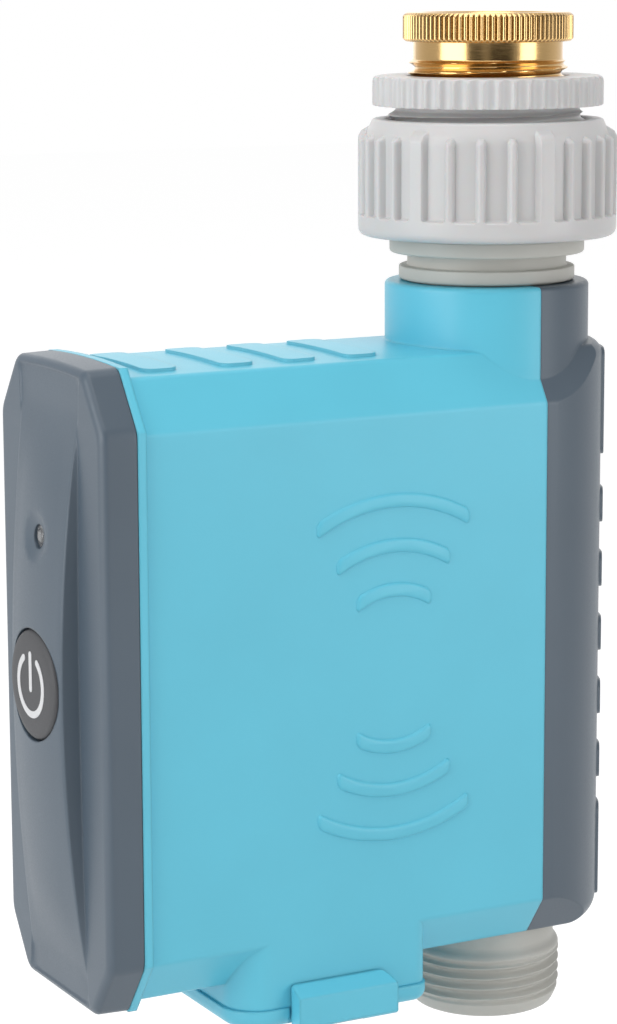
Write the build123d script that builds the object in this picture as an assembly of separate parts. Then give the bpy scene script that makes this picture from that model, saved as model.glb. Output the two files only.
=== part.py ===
from build123d import *
from math import acos, asin, atan2, cos, degrees, pi, radians, sin, sqrt, tan
import os

# Smart water timer that hangs from a tap. All sizes are in millimetres.
# The model is drawn with its pipe along Z at x = y = 0 and the case's underside at z = 0.
# The front panel faces -Y and the round spine faces +Y.
# At the end everything is lowered so that the origin is the centre of the tap's sealing face.

# Running fits, clearances and contact
RUN = 0.05
FREE = 0.30
SLIP = 0.10
FAR = 200.0

# Case
CASE_HALF_WIDTH = 19.3
CASE_HEADROOM = 21.6
CASE_WALL = 2.0
CASE_EDGE = 1.2
TOP_CROWN = 0.45
LOW_CHAMFER = (5.1, 7.1)
HIGH_CHAMFER = (5.2, 8.3)
RIM_FRONT = -74.0
RIM_DEPTH = 1.5
SPINE_ROUND_LOW = 4.0
SPINE_ROUND_HIGH = 2.6
COLLAR_RADIUS = 17.04
COLLAR_RISE = 10.3
COLLAR_EDGE = 0.8
COLLAR_SINK = 12.0

# Raised grip pads on the top and the spine
PAD_RISE = 0.5
PAD_HALF_LENGTH = 11.0
PAD_WIDTH = 6.05
PAD_CORNER = 1.8
PAD_PITCH = 11.15
TOP_PAD_LAST = -29.8
TOP_PAD_STEPS = (0, 1, 2, 3.2)
SPINE_PAD_FIRST = 26.9
SPINE_PAD_COUNT = 5
SPINE_LOW_PAD = (3.0, 19.5)
SPINE_HIGH_PAD = (19.4, 1.2)

# Front cover
COVER_FRONT = -80.0
COVER_HALF_WIDTH = 20.0
COVER_BOTTOM = -1.9
COVER_RISE = 1.5
COVER_CHAMFER = (6.6, 9.2)
COVER_DRAFT = 0.45
COVER_EDGE = 0.9
COVER_WALL = 2.0
COVER_PLATE = 2.5
SPIGOT_DEPTH = 3.0
SPIGOT_FOOT = 1.5
SPIGOT_WALL = 1.2
GASKET_WIDTH = 1.2
GASKET_DEPTH = 1.0

# Bulged panel in the front cover, with its indicator dish and push button
PANEL_HALF_WIDTH = 10.4
PANEL_RISE = 4.0
PANEL_HALF_HEIGHT = 46.0
PANEL_SHOULDER = 2.0
PANEL_CROWN = 0.7
PANEL_WALL = 2.0
DISH_RISE = 23.7
DISH_RADIUS = 4.3
DISH_DEPTH = 1.0
LENS_RADIUS = 1.9
LENS_FLANGE_RADIUS = 3.0
LENS_FLANGE = 1.0
BUTTON_RADIUS = 9.4
BUTTON_GAP = 0.2
BUTTON_WELL = 0.6
BUTTON_FLANGE_RADIUS = 11.2
BUTTON_FLANGE = 1.0
BUTTON_WALL = 1.4
BUTTON_STEM_RADIUS = 2.2
BUTTON_TRAVEL = 0.8
BUTTON_LEAD = 0.6
BUTTON_EDGE = 0.4
BUTTON_RING_RADIUS = 0.5
BUTTON_RING_DEPTH = 2.2

# Battery box, its door and the door's latch
BOX_FRONT = -57.2
BOX_BACK = -22.2
BOX_BOTTOM = -3.7
BOX_WALL = 1.8
BOX_ROOF = 1.5
BOX_FRONT_CORNER = 6.0
BOX_BACK_CORNER = 2.5
DOOR_THICKNESS = 3.1
DOOR_OVERHANG = 0.35
DOOR_EDGE = 1.9
DOOR_LIP_HEIGHT = 2.4
DOOR_LIP_WALL = 1.2
DOOR_GASKET_HEIGHT = 1.2
DOOR_GASKET_WIDTH = 1.0
LATCH_FRONT = -48.0
LATCH_BACK = -29.8
LATCH_THICKNESS = 3.0
LATCH_SKIN = 0.4
LATCH_EAR_RADIUS = 1.1
LATCH_TOP = 0.2
LATCH_BEVEL = 1.7
LATCH_BACK_CORNER = 2.4
LATCH_FRONT_CORNER = 0.8
LATCH_AXIS_RISE = 1.4
LATCH_EAR_WIDTH = 5.0
LATCH_SLOT = 0.7
PIN_RADIUS = 0.8
HINGE_OFFSET = 1.9
HINGE_DROP = 0.9
KNUCKLE_RADIUS = 1.6
KNUCKLE_LENGTH = 6.0
KNUCKLE_SPAN = 20.0
KNUCKLE_WEB = 3.0

# Battery cells, two by two
CELL_RADIUS = 7.15
CELL_LENGTH = 49.0
CELL_SPACING = 15.0
CELL_NIPPLE = (2.6, 1.0)
CELL_SPRING_ROOM = 4.2
CONTACT_THICKNESS = 0.4
CONTACT_WIDTH = 8.0
TAB_WIDTH = 3.0
TAB_REACH = 1.5

# Circuit board and what it carries
BOARD_FRONT = -70.6
BOARD_THICKNESS = 1.6
BOARD_HALF_WIDTH = 15.0
BOARD_BOTTOM = 7.0
BOARD_HEADROOM = 15.6
BOARD_POST_RADIUS = 2.2
BOARD_POSTS_X = 12.0
BOARD_LOW_POSTS = 12.0
BOARD_HIGH_POSTS = 5.0
SWITCH_BODY = (6.0, 3.5)
SWITCH_PLUNGER_RADIUS = 1.7
SWITCH_PLUNGER_REACH = 1.0
LED_RADIUS = 1.6
LED_HEIGHT = 1.6
RADIO_SIZE = (16.0, 2.4, 18.0)
RADIO_CENTRE = (0.0, 28.0)
CAPACITOR_RADIUS = 4.0
CAPACITOR_LENGTH = 8.0
CAPACITOR_PLACE = (-10.5, 6.5)
WIRE_RADIUS = 0.5

# Ball valve inside the spine
VALVE_RISE = 27.0
BALL_RADIUS = 9.5
BALL_BORE = 5.8
CHAMBER_RADIUS = 10.0
CHAMBER_WALL = 3.2
SEAT_RADIUS = 9.85
SEAT_BORE = 6.2
SEAT_REACH = 8.8
PIPE_BORE = 8.0
PIPE_RADIUS = 12.0
STEM_RADIUS = 3.4
STEM_BOSS_RADIUS = 6.5
STEM_BOSS_END = -19.6
STEM_JOURNAL = 2.0
STEM_RING_RADIUS = 0.45
STEM_RINGS = (-15.0, -17.4)
TANG_WIDTH = 3.0
TANG_DEPTH = 2.0
BONNET_PLUG_RADIUS = 11.55
BONNET_PLUG = 5.2
BONNET_FLANGE = 2.0
BONNET_RADIUS = 13.28
BONNET_LOW_FLANGE = (14.67, 0.2, 2.3)
BONNET_HIGH_FLANGE = (16.25, 2.2, 2.5)
BONNET_FLANGE_EDGE = 0.4
BONNET_BORE = 7.0
BONNET_SOCKET = 13.1
BONNET_RING_RADIUS = 0.6

# Outlet, a G 3/4 male thread
G34_RADIUS = 13.22
OUTLET_BOTTOM = -15.4
OUTLET_THREAD_TOP = -5.4
OUTLET_LEAD = (1.3, 2.8)
OUTLET_MOUTH = 9.6
OUTLET_MOUTH_DEPTH = 9.0

# Inlet sleeve, swivel nut (G 1 female), reducer and tap adapter (G 1/2 female)
G1_RADIUS = 16.62
G12_RADIUS = 10.48
SLEEVE_RADIUS = 12.0
SLEEVE_BORE = 9.6
SLEEVE_FLANGE_RADIUS = 15.3
SLEEVE_FLANGE = 3.0
NUT_RADIUS = 21.1
NUT_LIP = 3.3
NUT_HEIGHT = 19.26
NUT_TOP_RADIUS = 19.1
NUT_TOP_CHAMFER = 3.0
NUT_BOTTOM_ROUND = 1.2
NUT_BAND = 3.6
NUT_RIB_RISE = 0.44
NUT_VALLEY = 0.55
NUT_RIB_WIDTH = 1.7
NUT_RIB_STEPS = ((3, 14.2), (4, 11.4))
NUT_RIB_TOP = 4.6
NUT_LUGS = 6
NUT_LUG_WIDTH = (2.0, 3.5)
NUT_LUG_TOP = 2.6
NUT_TURN = -4.3
NUT_MOUTH = 0.5
WASHER_THICKNESS = 2.2
FILTER_RADIUS = 11.2
FILTER_RIM = 1.4
FILTER_CUP_RADIUS = 7.6
FILTER_CUP = 10.0
FILTER_WALL = 0.7
STUB_LENGTH = 12.6
RING_RADIUS = 19.17
RING_HEIGHT = 4.9
RING_EDGE = 0.5
RING_FLUTES = 48
RING_FLUTE_DEPTH = 0.45
REDUCER_FLOOR = 3.8
REDUCER_BORE = 9.0
ADAPTER_WASHER = 2.0
ADAPTER_THREAD = 14.3
ADAPTER_NECK = (12.37, 2.95)
ADAPTER_HEAD = (14.1, 4.75)
ADAPTER_BORE = 8.2
TAP_SOCKET = 11.5
TAP_WASHER = 1.9
TAP_RELIEF = 0.4
MOUTH_CHAMFER = 0.5

# Gear train from the motor to the valve stem, on axes along Y
PRESSURE_ANGLE = 20.0
GEAR_PLAY = 0.12
STEM_MODULE = 0.7
MOTOR_MODULE = 0.5
WHEEL_TEETH = 36
PINION_TEETH = 12
COMPOUND_X = -6.9
MOTOR_TURN = 30.0
REAR_PLATE_BACK = -20.0
PLATE_THICKNESS = 1.5
STEM_GEAR_BACK = -22.2
STEM_GEAR_WIDTH = 4.0
MOTOR_GEAR_BACK = -27.0
MOTOR_GEAR_WIDTH = 3.4
FRONT_PLATE_BACK = -31.0
BULKHEAD_THICKNESS = 1.5
GEAR_HUB_RADIUS = 2.6
SHAFT_RADIUS = 1.0
MOTOR_RADIUS = 10.0
MOTOR_LENGTH = 30.0
MOTOR_SHAFT_RADIUS = 1.2
MOTOR_BOSS_RADIUS = 3.0
TERMINAL_OFFSET = 5.0
TERMINAL_LENGTH = 2.5
POST_RADIUS = 1.7
POSTS = ((-15.3, -23.2), (13.8, -21.5), (-13.6, 14.3), (13.6, 14.3))
SCREW_RADIUS = 1.1
SCREW_HEAD_RADIUS = 1.9
SCREW_HEAD = 1.5
SCREW_BITE = 6.0
MAGNET_RADIUS = 1.5
MAGNET_OFFSET = 9.0

# Joint between the case and the spine: screws from below, tongues and a seal
FLOOR_SCREW = (12.0, 8.2)
FLOOR_SCREW_SEAT = 1.7
FLOOR_SCREW_PAD = 1.5
FLOOR_BOSS_RADIUS = 1.9
FLOOR_BOSS_TOP = 13.0
TONGUE_THICKNESS = 1.1
TONGUE_REACH = 4.0
LOW_TONGUE = 24.0
HIGH_TONGUE = 19.6
TONGUE_HEIGHT = 8.0
LOW_SADDLE = 34.0
HIGH_SADDLE = 19.0
SADDLE_THICKNESS = 2.0
SEAL_WIDTH = 0.9
SEAL_DEPTH = 0.8
SEAL_START = 9.0
SEAL_HEADROOM = 11.6

# Values worked out from the ones above
CELL_BOTTOM = BOX_BOTTOM + CELL_SPRING_ROOM
BOX_CEILING = CELL_BOTTOM + CELL_LENGTH + CELL_NIPPLE[1] + SLIP + CONTACT_THICKNESS
VALVE_AXIS = BOX_CEILING + VALVE_RISE
CASE_HEIGHT = VALVE_AXIS + CASE_HEADROOM
COLLAR_TOP = CASE_HEIGHT + COLLAR_RISE
SPINE_END_PADS = (SPINE_LOW_PAD, (CASE_HEIGHT - SPINE_HIGH_PAD[0], CASE_HEIGHT - SPINE_HIGH_PAD[1]))
COVER_TOP = CASE_HEIGHT + COVER_RISE
BUTTON_HEIGHT = CASE_HEIGHT / 2
DISH_HEIGHT = BUTTON_HEIGHT + DISH_RISE
BOARD_TOP = CASE_HEIGHT - BOARD_HEADROOM
BOARD_POSTS_Z = (BOARD_LOW_POSTS, BOX_CEILING - BOARD_HIGH_POSTS)
CAPACITOR_CENTRE = (CAPACITOR_PLACE[0], BOX_CEILING + CAPACITOR_PLACE[1])
LOW_FLANGE_BOTTOM = COLLAR_TOP + BONNET_LOW_FLANGE[1]
LOW_FLANGE_TOP = LOW_FLANGE_BOTTOM + BONNET_LOW_FLANGE[2]
HIGH_FLANGE_BOTTOM = LOW_FLANGE_TOP + BONNET_HIGH_FLANGE[1]
HIGH_FLANGE_TOP = HIGH_FLANGE_BOTTOM + BONNET_HIGH_FLANGE[2]
BONNET_SOCKET_FLOOR = HIGH_FLANGE_TOP - BONNET_SOCKET
TONGUES = (LOW_TONGUE, CASE_HEIGHT - HIGH_TONGUE)
SADDLES = (LOW_SADDLE, VALVE_AXIS - HIGH_SADDLE)
SEAL_SPAN = (SEAL_START, CASE_HEIGHT - SEAL_HEADROOM)
COVER_BASE = RIM_FRONT
MID_HEIGHT = CASE_HEIGHT / 2
PANEL_PEAK = COVER_FRONT - PANEL_RISE
PANEL_SWEEP_RADIUS = (PANEL_HALF_HEIGHT ** 2 + PANEL_RISE ** 2) / (2 * PANEL_RISE)
PLATE_INNER = COVER_FRONT + COVER_PLATE
BOX_CENTRE = (BOX_FRONT + BOX_BACK) / 2
BOX_LENGTH = BOX_BACK - BOX_FRONT
DOOR_BOTTOM = BOX_BOTTOM - DOOR_THICKNESS
LATCH_REACH = CASE_HALF_WIDTH + FREE + LATCH_THICKNESS
LATCH_AXIS = (LATCH_REACH - LATCH_SKIN - FREE - LATCH_EAR_RADIUS, DOOR_BOTTOM + LATCH_AXIS_RISE)
HINGE_AXIS = (-CASE_HALF_WIDTH - HINGE_OFFSET, BOX_BOTTOM - HINGE_DROP)
BOARD_BACK = BOARD_FRONT + BOARD_THICKNESS
SEAT_HEIGHT = BALL_RADIUS - sqrt(BALL_RADIUS ** 2 - SEAT_BORE ** 2)
CHAMBER_FLOOR = VALVE_AXIS - SEAT_REACH
CHAMBER_TOP = VALVE_AXIS + SEAT_REACH
CHAMBER_OUTER = CHAMBER_RADIUS + CHAMBER_WALL
BONNET_SHOULDER = CHAMBER_TOP + BONNET_PLUG
NUT_BOTTOM = HIGH_FLANGE_TOP + FREE
SLEEVE_TOP = NUT_BOTTOM + NUT_LIP + FREE + SLEEVE_FLANGE
NUT_TOP = NUT_BOTTOM + NUT_HEIGHT
STUB_BOTTOM = SLEEVE_TOP + WASHER_THICKNESS
RING_BOTTOM = STUB_BOTTOM + STUB_LENGTH
RING_TOP = RING_BOTTOM + RING_HEIGHT
REDUCER_SEAT = STUB_BOTTOM + REDUCER_FLOOR
ADAPTER_BOTTOM = REDUCER_SEAT + ADAPTER_WASHER
ADAPTER_NECK_BOTTOM = ADAPTER_BOTTOM + ADAPTER_THREAD
ADAPTER_HEAD_BOTTOM = ADAPTER_NECK_BOTTOM + ADAPTER_NECK[1]
ADAPTER_TOP = ADAPTER_HEAD_BOTTOM + ADAPTER_HEAD[1]
TAP_SEAT = ADAPTER_TOP - TAP_SOCKET + TAP_WASHER + SLIP
STEM_CENTRES = STEM_MODULE * (WHEEL_TEETH + PINION_TEETH) / 2
MOTOR_CENTRES = MOTOR_MODULE * (WHEEL_TEETH + PINION_TEETH) / 2
STEM_AXIS = (0.0, VALVE_AXIS)
COMPOUND_AXIS = (COMPOUND_X, VALVE_AXIS - sqrt(STEM_CENTRES ** 2 - COMPOUND_X ** 2))
MOTOR_AXIS = (COMPOUND_AXIS[0] + MOTOR_CENTRES * cos(radians(MOTOR_TURN)),
              COMPOUND_AXIS[1] + MOTOR_CENTRES * sin(radians(MOTOR_TURN)))
FRONT_PLATE_FRONT = FRONT_PLATE_BACK - PLATE_THICKNESS
REAR_PLATE_FRONT = REAR_PLATE_BACK - PLATE_THICKNESS
BULKHEAD_FRONT = FRONT_PLATE_FRONT - BULKHEAD_THICKNESS

BASE = (Align.CENTER, Align.CENTER, Align.MIN)


def drum(radius, low, high):
    """Cylinder round the pipe's axis between two heights."""
    return Pos(0, 0, low) * Cylinder(radius, high - low, align=BASE)


def tube(outer, inner, low, high):
    """Round wall about the pipe's axis between two heights."""
    return drum(outer, low, high) - drum(inner, low - 1, high + 1)


def along_y(outline, front, back):
    """Extrudes an outline drawn in x and z from one depth to another."""
    return extrude(Plane.XZ.offset(-back) * outline, back - front)


def rod(radius, x, z, front, back):
    """Cylinder along Y."""
    return along_y(Pos(x, z) * Circle(radius), front, back)


def block(x_low, x_high, y_low, y_high, z_low, z_high):
    """Box given by its limits."""
    size = (x_high - x_low, y_high - y_low, z_high - z_low)
    return Pos(x_low, y_low, z_low) * Box(*size, align=(Align.MIN, Align.MIN, Align.MIN))


def solid_of(points_and_arcs):
    """Solid of revolution about the pipe's axis from a closed list of (radius, z) corners."""
    outline = make_face(Polyline(*points_and_arcs, close=True))
    return revolve(Plane.XZ * outline, Axis.Z)


def seal_ring(major, minor):
    """Rubber ring about Z with a six-sided section, as it stands when squeezed."""
    return revolve(Plane.XZ * Pos(major, 0) * RegularPolygon(minor, 6), Axis.Z)


def seal_groove(major, minor, gap):
    """Square-cut groove about Z that holds a ring with a small gap all round."""
    half = minor + gap
    return tube(major + 2 * half, major - half, -half, half)


def chamfered_outline(half_width, bottom, top, low_cut, high_cut, crown):
    """Eight-sided outline of the case seen from the front, with a slightly crowned top."""
    sides = Polyline((-half_width + high_cut[0], top), (-half_width, top - high_cut[1]),
                     (-half_width, bottom + low_cut[1]), (-half_width + low_cut[0], bottom),
                     (half_width - low_cut[0], bottom), (half_width, bottom + low_cut[1]),
                     (half_width, top - high_cut[1]), (half_width - high_cut[0], top))
    lid = ThreePointArc((half_width - high_cut[0], top), (0, top + crown), (-half_width + high_cut[0], top))
    return make_face(sides + lid)


def case_outline():
    return chamfered_outline(CASE_HALF_WIDTH, 0, CASE_HEIGHT, LOW_CHAMFER, HIGH_CHAMFER, TOP_CROWN)


def cover_outline():
    return chamfered_outline(COVER_HALF_WIDTH, COVER_BOTTOM, COVER_TOP, COVER_CHAMFER, COVER_CHAMFER, TOP_CROWN)


def inset(outline, amount):
    return offset(outline, amount=-amount, kind=Kind.INTERSECTION)


def box_plan(grow):
    """Plan of the battery box, large corners in front and small ones behind."""
    x = CASE_HALF_WIDTH + grow
    front = BOX_FRONT - grow
    back = BOX_BACK + grow
    outline = make_face(Polyline((-x, front), (x, front), (x, back), (-x, back), close=True))
    corners = outline.vertices().sort_by(Axis.Y)
    outline = fillet(corners[:2], BOX_FRONT_CORNER + grow)
    corners = outline.vertices().sort_by(Axis.Y)
    return fillet(corners[-2:], BOX_BACK_CORNER + grow)


def box_void():
    """Plan of the space for the cells."""
    side_walls = Pos(0, BOX_CENTRE) * Rectangle(2 * (CASE_HALF_WIDTH - CASE_WALL), 2 * BOX_LENGTH)
    return inset(box_plan(0), BOX_WALL) & side_walls


def pad_outline(length, width):
    return RectangleRounded(length, width, min(PAD_CORNER, width / 2.1))


def collar():
    """Round collar at the top of the case and the spine, before it is halved."""
    ring = drum(COLLAR_RADIUS, CASE_HEIGHT - COLLAR_SINK, COLLAR_TOP)
    return fillet(ring.edges().group_by(Axis.Z)[-1], COLLAR_EDGE)


def top_pads():
    """Grip pads across the case's crowned top."""
    pads = []
    for step in TOP_PAD_STEPS:
        y = TOP_PAD_LAST - step * PAD_PITCH
        tablet = extrude(Pos(0, y, CASE_HEIGHT - 1) * pad_outline(2 * PAD_HALF_LENGTH, PAD_WIDTH), 3)
        pads.append(tablet)
    lifted = chamfered_outline(CASE_HALF_WIDTH, 0, CASE_HEIGHT + PAD_RISE, LOW_CHAMFER, HIGH_CHAMFER, TOP_CROWN)
    return Part() + pads & along_y(lifted, RIM_FRONT, 0)


def spine_pads():
    """Grip pads down the round back, cut from a slightly larger cylinder."""
    spans = [(z, z + PAD_WIDTH) for z in
             [SPINE_PAD_FIRST - PAD_WIDTH / 2 + n * PAD_PITCH for n in range(SPINE_PAD_COUNT)]]
    spans += SPINE_END_PADS
    pads = []
    for low, high in spans:
        outline = Pos(0, (low + high) / 2) * pad_outline(2 * PAD_HALF_LENGTH, high - low)
        pads.append(along_y(outline, CASE_HALF_WIDTH / 2, CASE_HALF_WIDTH + 3))
    shell = spine_core(PAD_RISE)
    return Part() + pads & shell


def spine_core(grow=0.0):
    """Round back of the case before hollowing, with rounded ends."""
    core = drum(CASE_HALF_WIDTH + SLIP + grow, 0, CASE_HEIGHT + TOP_CROWN)
    core = fillet(core.edges().group_by(Axis.Z)[-1], SPINE_ROUND_HIGH)
    return fillet(core.edges().group_by(Axis.Z)[0], SPINE_ROUND_LOW)


def front_half(part):
    return part & block(-FAR, FAR, -FAR, 0, -FAR, FAR)


def back_half(part):
    return part & block(-FAR, FAR, 0, FAR, -FAR, FAR)


def floor_screw_places():
    x, y = FLOOR_SCREW
    return [(side * x, y) for side in (-1, 1)]


def floor_bosses():
    """Bosses on the case that reach into the spine above its floor, one beside each side wall."""
    low = FLOOR_SCREW_SEAT + FLOOR_SCREW_PAD + SLIP
    bosses = Part()
    for side in (-1, 1):
        x, y = FLOOR_SCREW
        inner = x - FLOOR_BOSS_RADIUS
        outer = CASE_HALF_WIDTH - CASE_WALL / 2
        bosses += Pos(side * x, y, low) * Cylinder(FLOOR_BOSS_RADIUS, FLOOR_BOSS_TOP - low, align=BASE)
        near, far = sorted((side * inner, side * (x + FLOOR_BOSS_RADIUS)))
        bosses += block(near, far, -1, y, low, FLOOR_BOSS_TOP)
        near, far = sorted((side * inner, side * outer))
        bosses += block(near, far, -4, -0.5, CASE_WALL / 2, FLOOR_BOSS_TOP)
    return bosses - drum(PIPE_RADIUS + FREE, 0, FLOOR_BOSS_TOP + 1)


def tongues():
    """Tongues of the spine that slip inside the case's side walls."""
    outer = CASE_HALF_WIDTH - CASE_WALL - SLIP
    made = Part()
    for low in TONGUES:
        for side in (-1, 1):
            near, far = sorted((side * (outer - TONGUE_THICKNESS), side * outer))
            made += block(near, far, -TONGUE_REACH, TONGUE_REACH, low, low + TONGUE_HEIGHT)
            near, far = sorted((side * (outer - TONGUE_THICKNESS), side * (outer + CASE_WALL / 2)))
            made += block(near, far, SLIP, TONGUE_REACH, low, low + TONGUE_HEIGHT)
    return made


def pipe_clearances():
    """Holes that the water pipe passes through in the case's floor and collar."""
    floor = drum(PIPE_RADIUS + FREE, -1, 2 * CASE_WALL + 1)
    collar = drum(BONNET_RADIUS + FREE, CASE_HEIGHT - 2 * CASE_WALL, COLLAR_TOP + 1)
    return floor + collar


def saddles():
    """Ribs that hold the pipe, clear of the gearbox's screws in front of them."""
    wall = CASE_HALF_WIDTH - CASE_WALL / 2
    front = REAR_PLATE_BACK + SCREW_HEAD + FREE
    ribs = Part() + [block(-wall, wall, front, wall, z, z + SADDLE_THICKNESS) for z in SADDLES]
    return ribs - drum(PIPE_RADIUS + FREE, 0, CHAMBER_FLOOR)


def seal_track(half_width):
    """Straight runs of the seal between the case and the spine, down both sides."""
    middle = CASE_HALF_WIDTH - CASE_WALL / 2
    return [block(side * middle - half_width, side * middle + half_width, -SEAL_DEPTH, 0, *SEAL_SPAN)
            for side in (-1, 1)]


def case_seal():
    return Part() + seal_track(SEAL_WIDTH / 2 - RUN)


def front_housing():
    """Blue case: shell, rim, battery box, half of the collar and the inner supports."""
    outline = fillet(case_outline().vertices(), CASE_EDGE)
    shell = along_y(outline, RIM_FRONT + RIM_DEPTH / 2, 0)
    shell += along_y(cover_outline(), RIM_FRONT, RIM_FRONT + RIM_DEPTH)
    shell += front_half(collar())
    shell += top_pads()
    box = extrude(Pos(0, 0, BOX_BOTTOM) * box_plan(0), BOX_CEILING + BOX_ROOF - BOX_BOTTOM)
    shell += box & block(-FAR, FAR, -FAR, 0, BOX_BOTTOM, LOW_CHAMFER[1] + CASE_EDGE)

    cavity = along_y(inset(case_outline(), CASE_WALL), RIM_FRONT - 1, 1)
    inner_box = box & along_y(inset(case_outline(), CASE_WALL - SLIP), BOX_FRONT - 1, BOX_BACK + 1)
    inner_box += box & block(-FAR, FAR, -FAR, 0, BOX_BOTTOM - 1, CASE_WALL)
    shell -= cavity - inner_box
    bulkhead = along_y(inset(case_outline(), CASE_WALL - SLIP), BULKHEAD_FRONT, FRONT_PLATE_FRONT)
    shell += bulkhead & block(-FAR, FAR, -FAR, 0, BOX_CEILING, FAR)
    shell += inner_box

    shell += [rod(BOARD_POST_RADIUS, x, z, BOARD_BACK, BOX_FRONT + SLIP) for x, z in board_post_places()]
    shell += floor_bosses()
    shell += front_half(saddles())
    shell -= extrude(Pos(0, 0, BOX_BOTTOM - 1) * box_void(), BOX_CEILING - BOX_BOTTOM + 1)
    shell -= contact_tabs(SLIP)
    shell -= pipe_clearances()
    shell -= along_y(Pos(*MOTOR_AXIS) * Circle(MOTOR_RADIUS + FREE), BULKHEAD_FRONT - 1, FRONT_PLATE_FRONT + 1)
    shell -= [rod(SCREW_RADIUS + RUN, x, z, BULKHEAD_FRONT - 1, FRONT_PLATE_FRONT + 1) for x, z in post_places()]
    shell -= [Pos(x, y) * drum(SCREW_RADIUS + RUN, FLOOR_SCREW_SEAT, FLOOR_SCREW_SEAT + SCREW_BITE + 1)
              for x, y in floor_screw_places()]
    shell -= [rod(SCREW_RADIUS + RUN, x, z, BOARD_BACK - 1, BOARD_FRONT + SCREW_BITE + 1)
              for x, z in board_post_places()]
    groove_middle = inset(cover_outline(), (COVER_HALF_WIDTH - CASE_HALF_WIDTH + CASE_WALL - GASKET_WIDTH) / 2)
    groove = along_y(groove_middle, RIM_FRONT - 1, RIM_FRONT + GASKET_DEPTH)
    shell -= groove - along_y(inset(groove_middle, GASKET_WIDTH), RIM_FRONT - 2, RIM_FRONT + GASKET_DEPTH + 1)
    shell += hinge_knuckles()
    shell -= rod(PIN_RADIUS + RUN, *HINGE_AXIS, BOX_FRONT, BOX_BACK)
    shell -= seal_track(SEAL_WIDTH / 2)
    return shell


def knuckle_spans():
    """Lengths along Y of the two fixed knuckles and the door's knuckle between them."""
    low = BOX_CENTRE - KNUCKLE_SPAN / 2
    high = BOX_CENTRE + KNUCKLE_SPAN / 2
    return (low, low + KNUCKLE_LENGTH), (low + KNUCKLE_LENGTH + FREE, high - KNUCKLE_LENGTH - FREE), \
        (high - KNUCKLE_LENGTH, high)


def hinge_knuckles():
    """Two knuckles on the battery box's far side, carried by a short web."""
    first, _, last = knuckle_spans()
    x, z = HINGE_AXIS
    knuckles = Part()
    for front, back in (first, last):
        knuckles += rod(KNUCKLE_RADIUS, x, z, front, back)
        web = block(x - KNUCKLE_RADIUS, -CASE_HALF_WIDTH + CASE_WALL / 2, front, back, BOX_BOTTOM,
                    BOX_BOTTOM + KNUCKLE_WEB)
        slope = Pos(x - KNUCKLE_RADIUS, (front + back) / 2, BOX_BOTTOM + KNUCKLE_WEB) * Rot(0, 45, 0) * \
            Box(KNUCKLE_WEB, KNUCKLE_SPAN, KNUCKLE_WEB)
        knuckles += web - slope
    return knuckles


def rear_housing():
    """Dark grey spine: round back, the other half of the collar and the screw wells."""
    ends = along_y(fillet(case_outline().vertices(), CASE_EDGE), 0, CASE_HALF_WIDTH + 3)
    body = back_half(spine_core() & ends)
    body += back_half(spine_pads())
    body += back_half(collar())
    room = drum(CASE_HALF_WIDTH - CASE_WALL, CASE_WALL, CASE_HEIGHT - CASE_WALL)
    body -= room & along_y(inset(case_outline(), CASE_WALL), -1, CASE_HALF_WIDTH)
    inside = back_half(spine_core(-CASE_WALL / 2) & along_y(inset(case_outline(), CASE_WALL / 2), 0, CASE_HALF_WIDTH))
    pads = Part() + [Pos(x, y) * drum(SCREW_HEAD_RADIUS + 1, CASE_WALL / 2, FLOOR_SCREW_SEAT + FLOOR_SCREW_PAD)
                     for x, y in floor_screw_places()]
    body += (back_half(saddles()) + back_half(pads)) & inside
    body += tongues()
    body -= pipe_clearances()
    for x, y in floor_screw_places():
        body -= Pos(x, y) * drum(SCREW_RADIUS + SLIP, -1, FLOOR_SCREW_SEAT + FLOOR_SCREW_PAD + 1)
        body -= Pos(x, y) * drum(SCREW_HEAD_RADIUS + SLIP, -1, FLOOR_SCREW_SEAT)
    return body


def panel_section():
    """Cross-section of the bulged panel: crowned face, rounded shoulders and straight sides."""
    flat = PANEL_HALF_WIDTH - PANEL_SHOULDER
    brow = PANEL_PEAK + PANEL_CROWN
    side = brow + PANEL_SHOULDER
    out = flat + PANEL_SHOULDER * sin(pi / 4)
    down = brow + PANEL_SHOULDER * (1 - cos(pi / 4))
    crown = ThreePointArc((-flat, brow), (0, PANEL_PEAK), (flat, brow))
    right = ThreePointArc((flat, brow), (out, down), (PANEL_HALF_WIDTH, side))
    left = ThreePointArc((-PANEL_HALF_WIDTH, side), (-out, down), (-flat, brow))
    base = PANEL_PEAK + 2 * PANEL_RISE
    foot = Polyline((PANEL_HALF_WIDTH, side), (PANEL_HALF_WIDTH, base), (-PANEL_HALF_WIDTH, base),
                    (-PANEL_HALF_WIDTH, side))
    return make_face(crown + right + foot + left)


def pocket_section():
    """Cross-section of the hollow behind the panel."""
    half = PANEL_HALF_WIDTH - PANEL_WALL
    return Pos(0, PANEL_PEAK + PANEL_WALL + PANEL_RISE) * Rectangle(2 * half, 2 * PANEL_RISE)


def panel_barrel(section):
    """Section swept on a long arc, so that the panel bulges most beside the button."""
    half_turn = degrees(asin((PANEL_HALF_HEIGHT + 6) / PANEL_SWEEP_RADIUS))
    axis = Axis((0, PANEL_PEAK + PANEL_SWEEP_RADIUS, MID_HEIGHT), (1, 0, 0))
    face = Pos(0, 0, MID_HEIGHT) * section
    return revolve(face, axis, half_turn) + revolve(face, axis, -half_turn)


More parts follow.
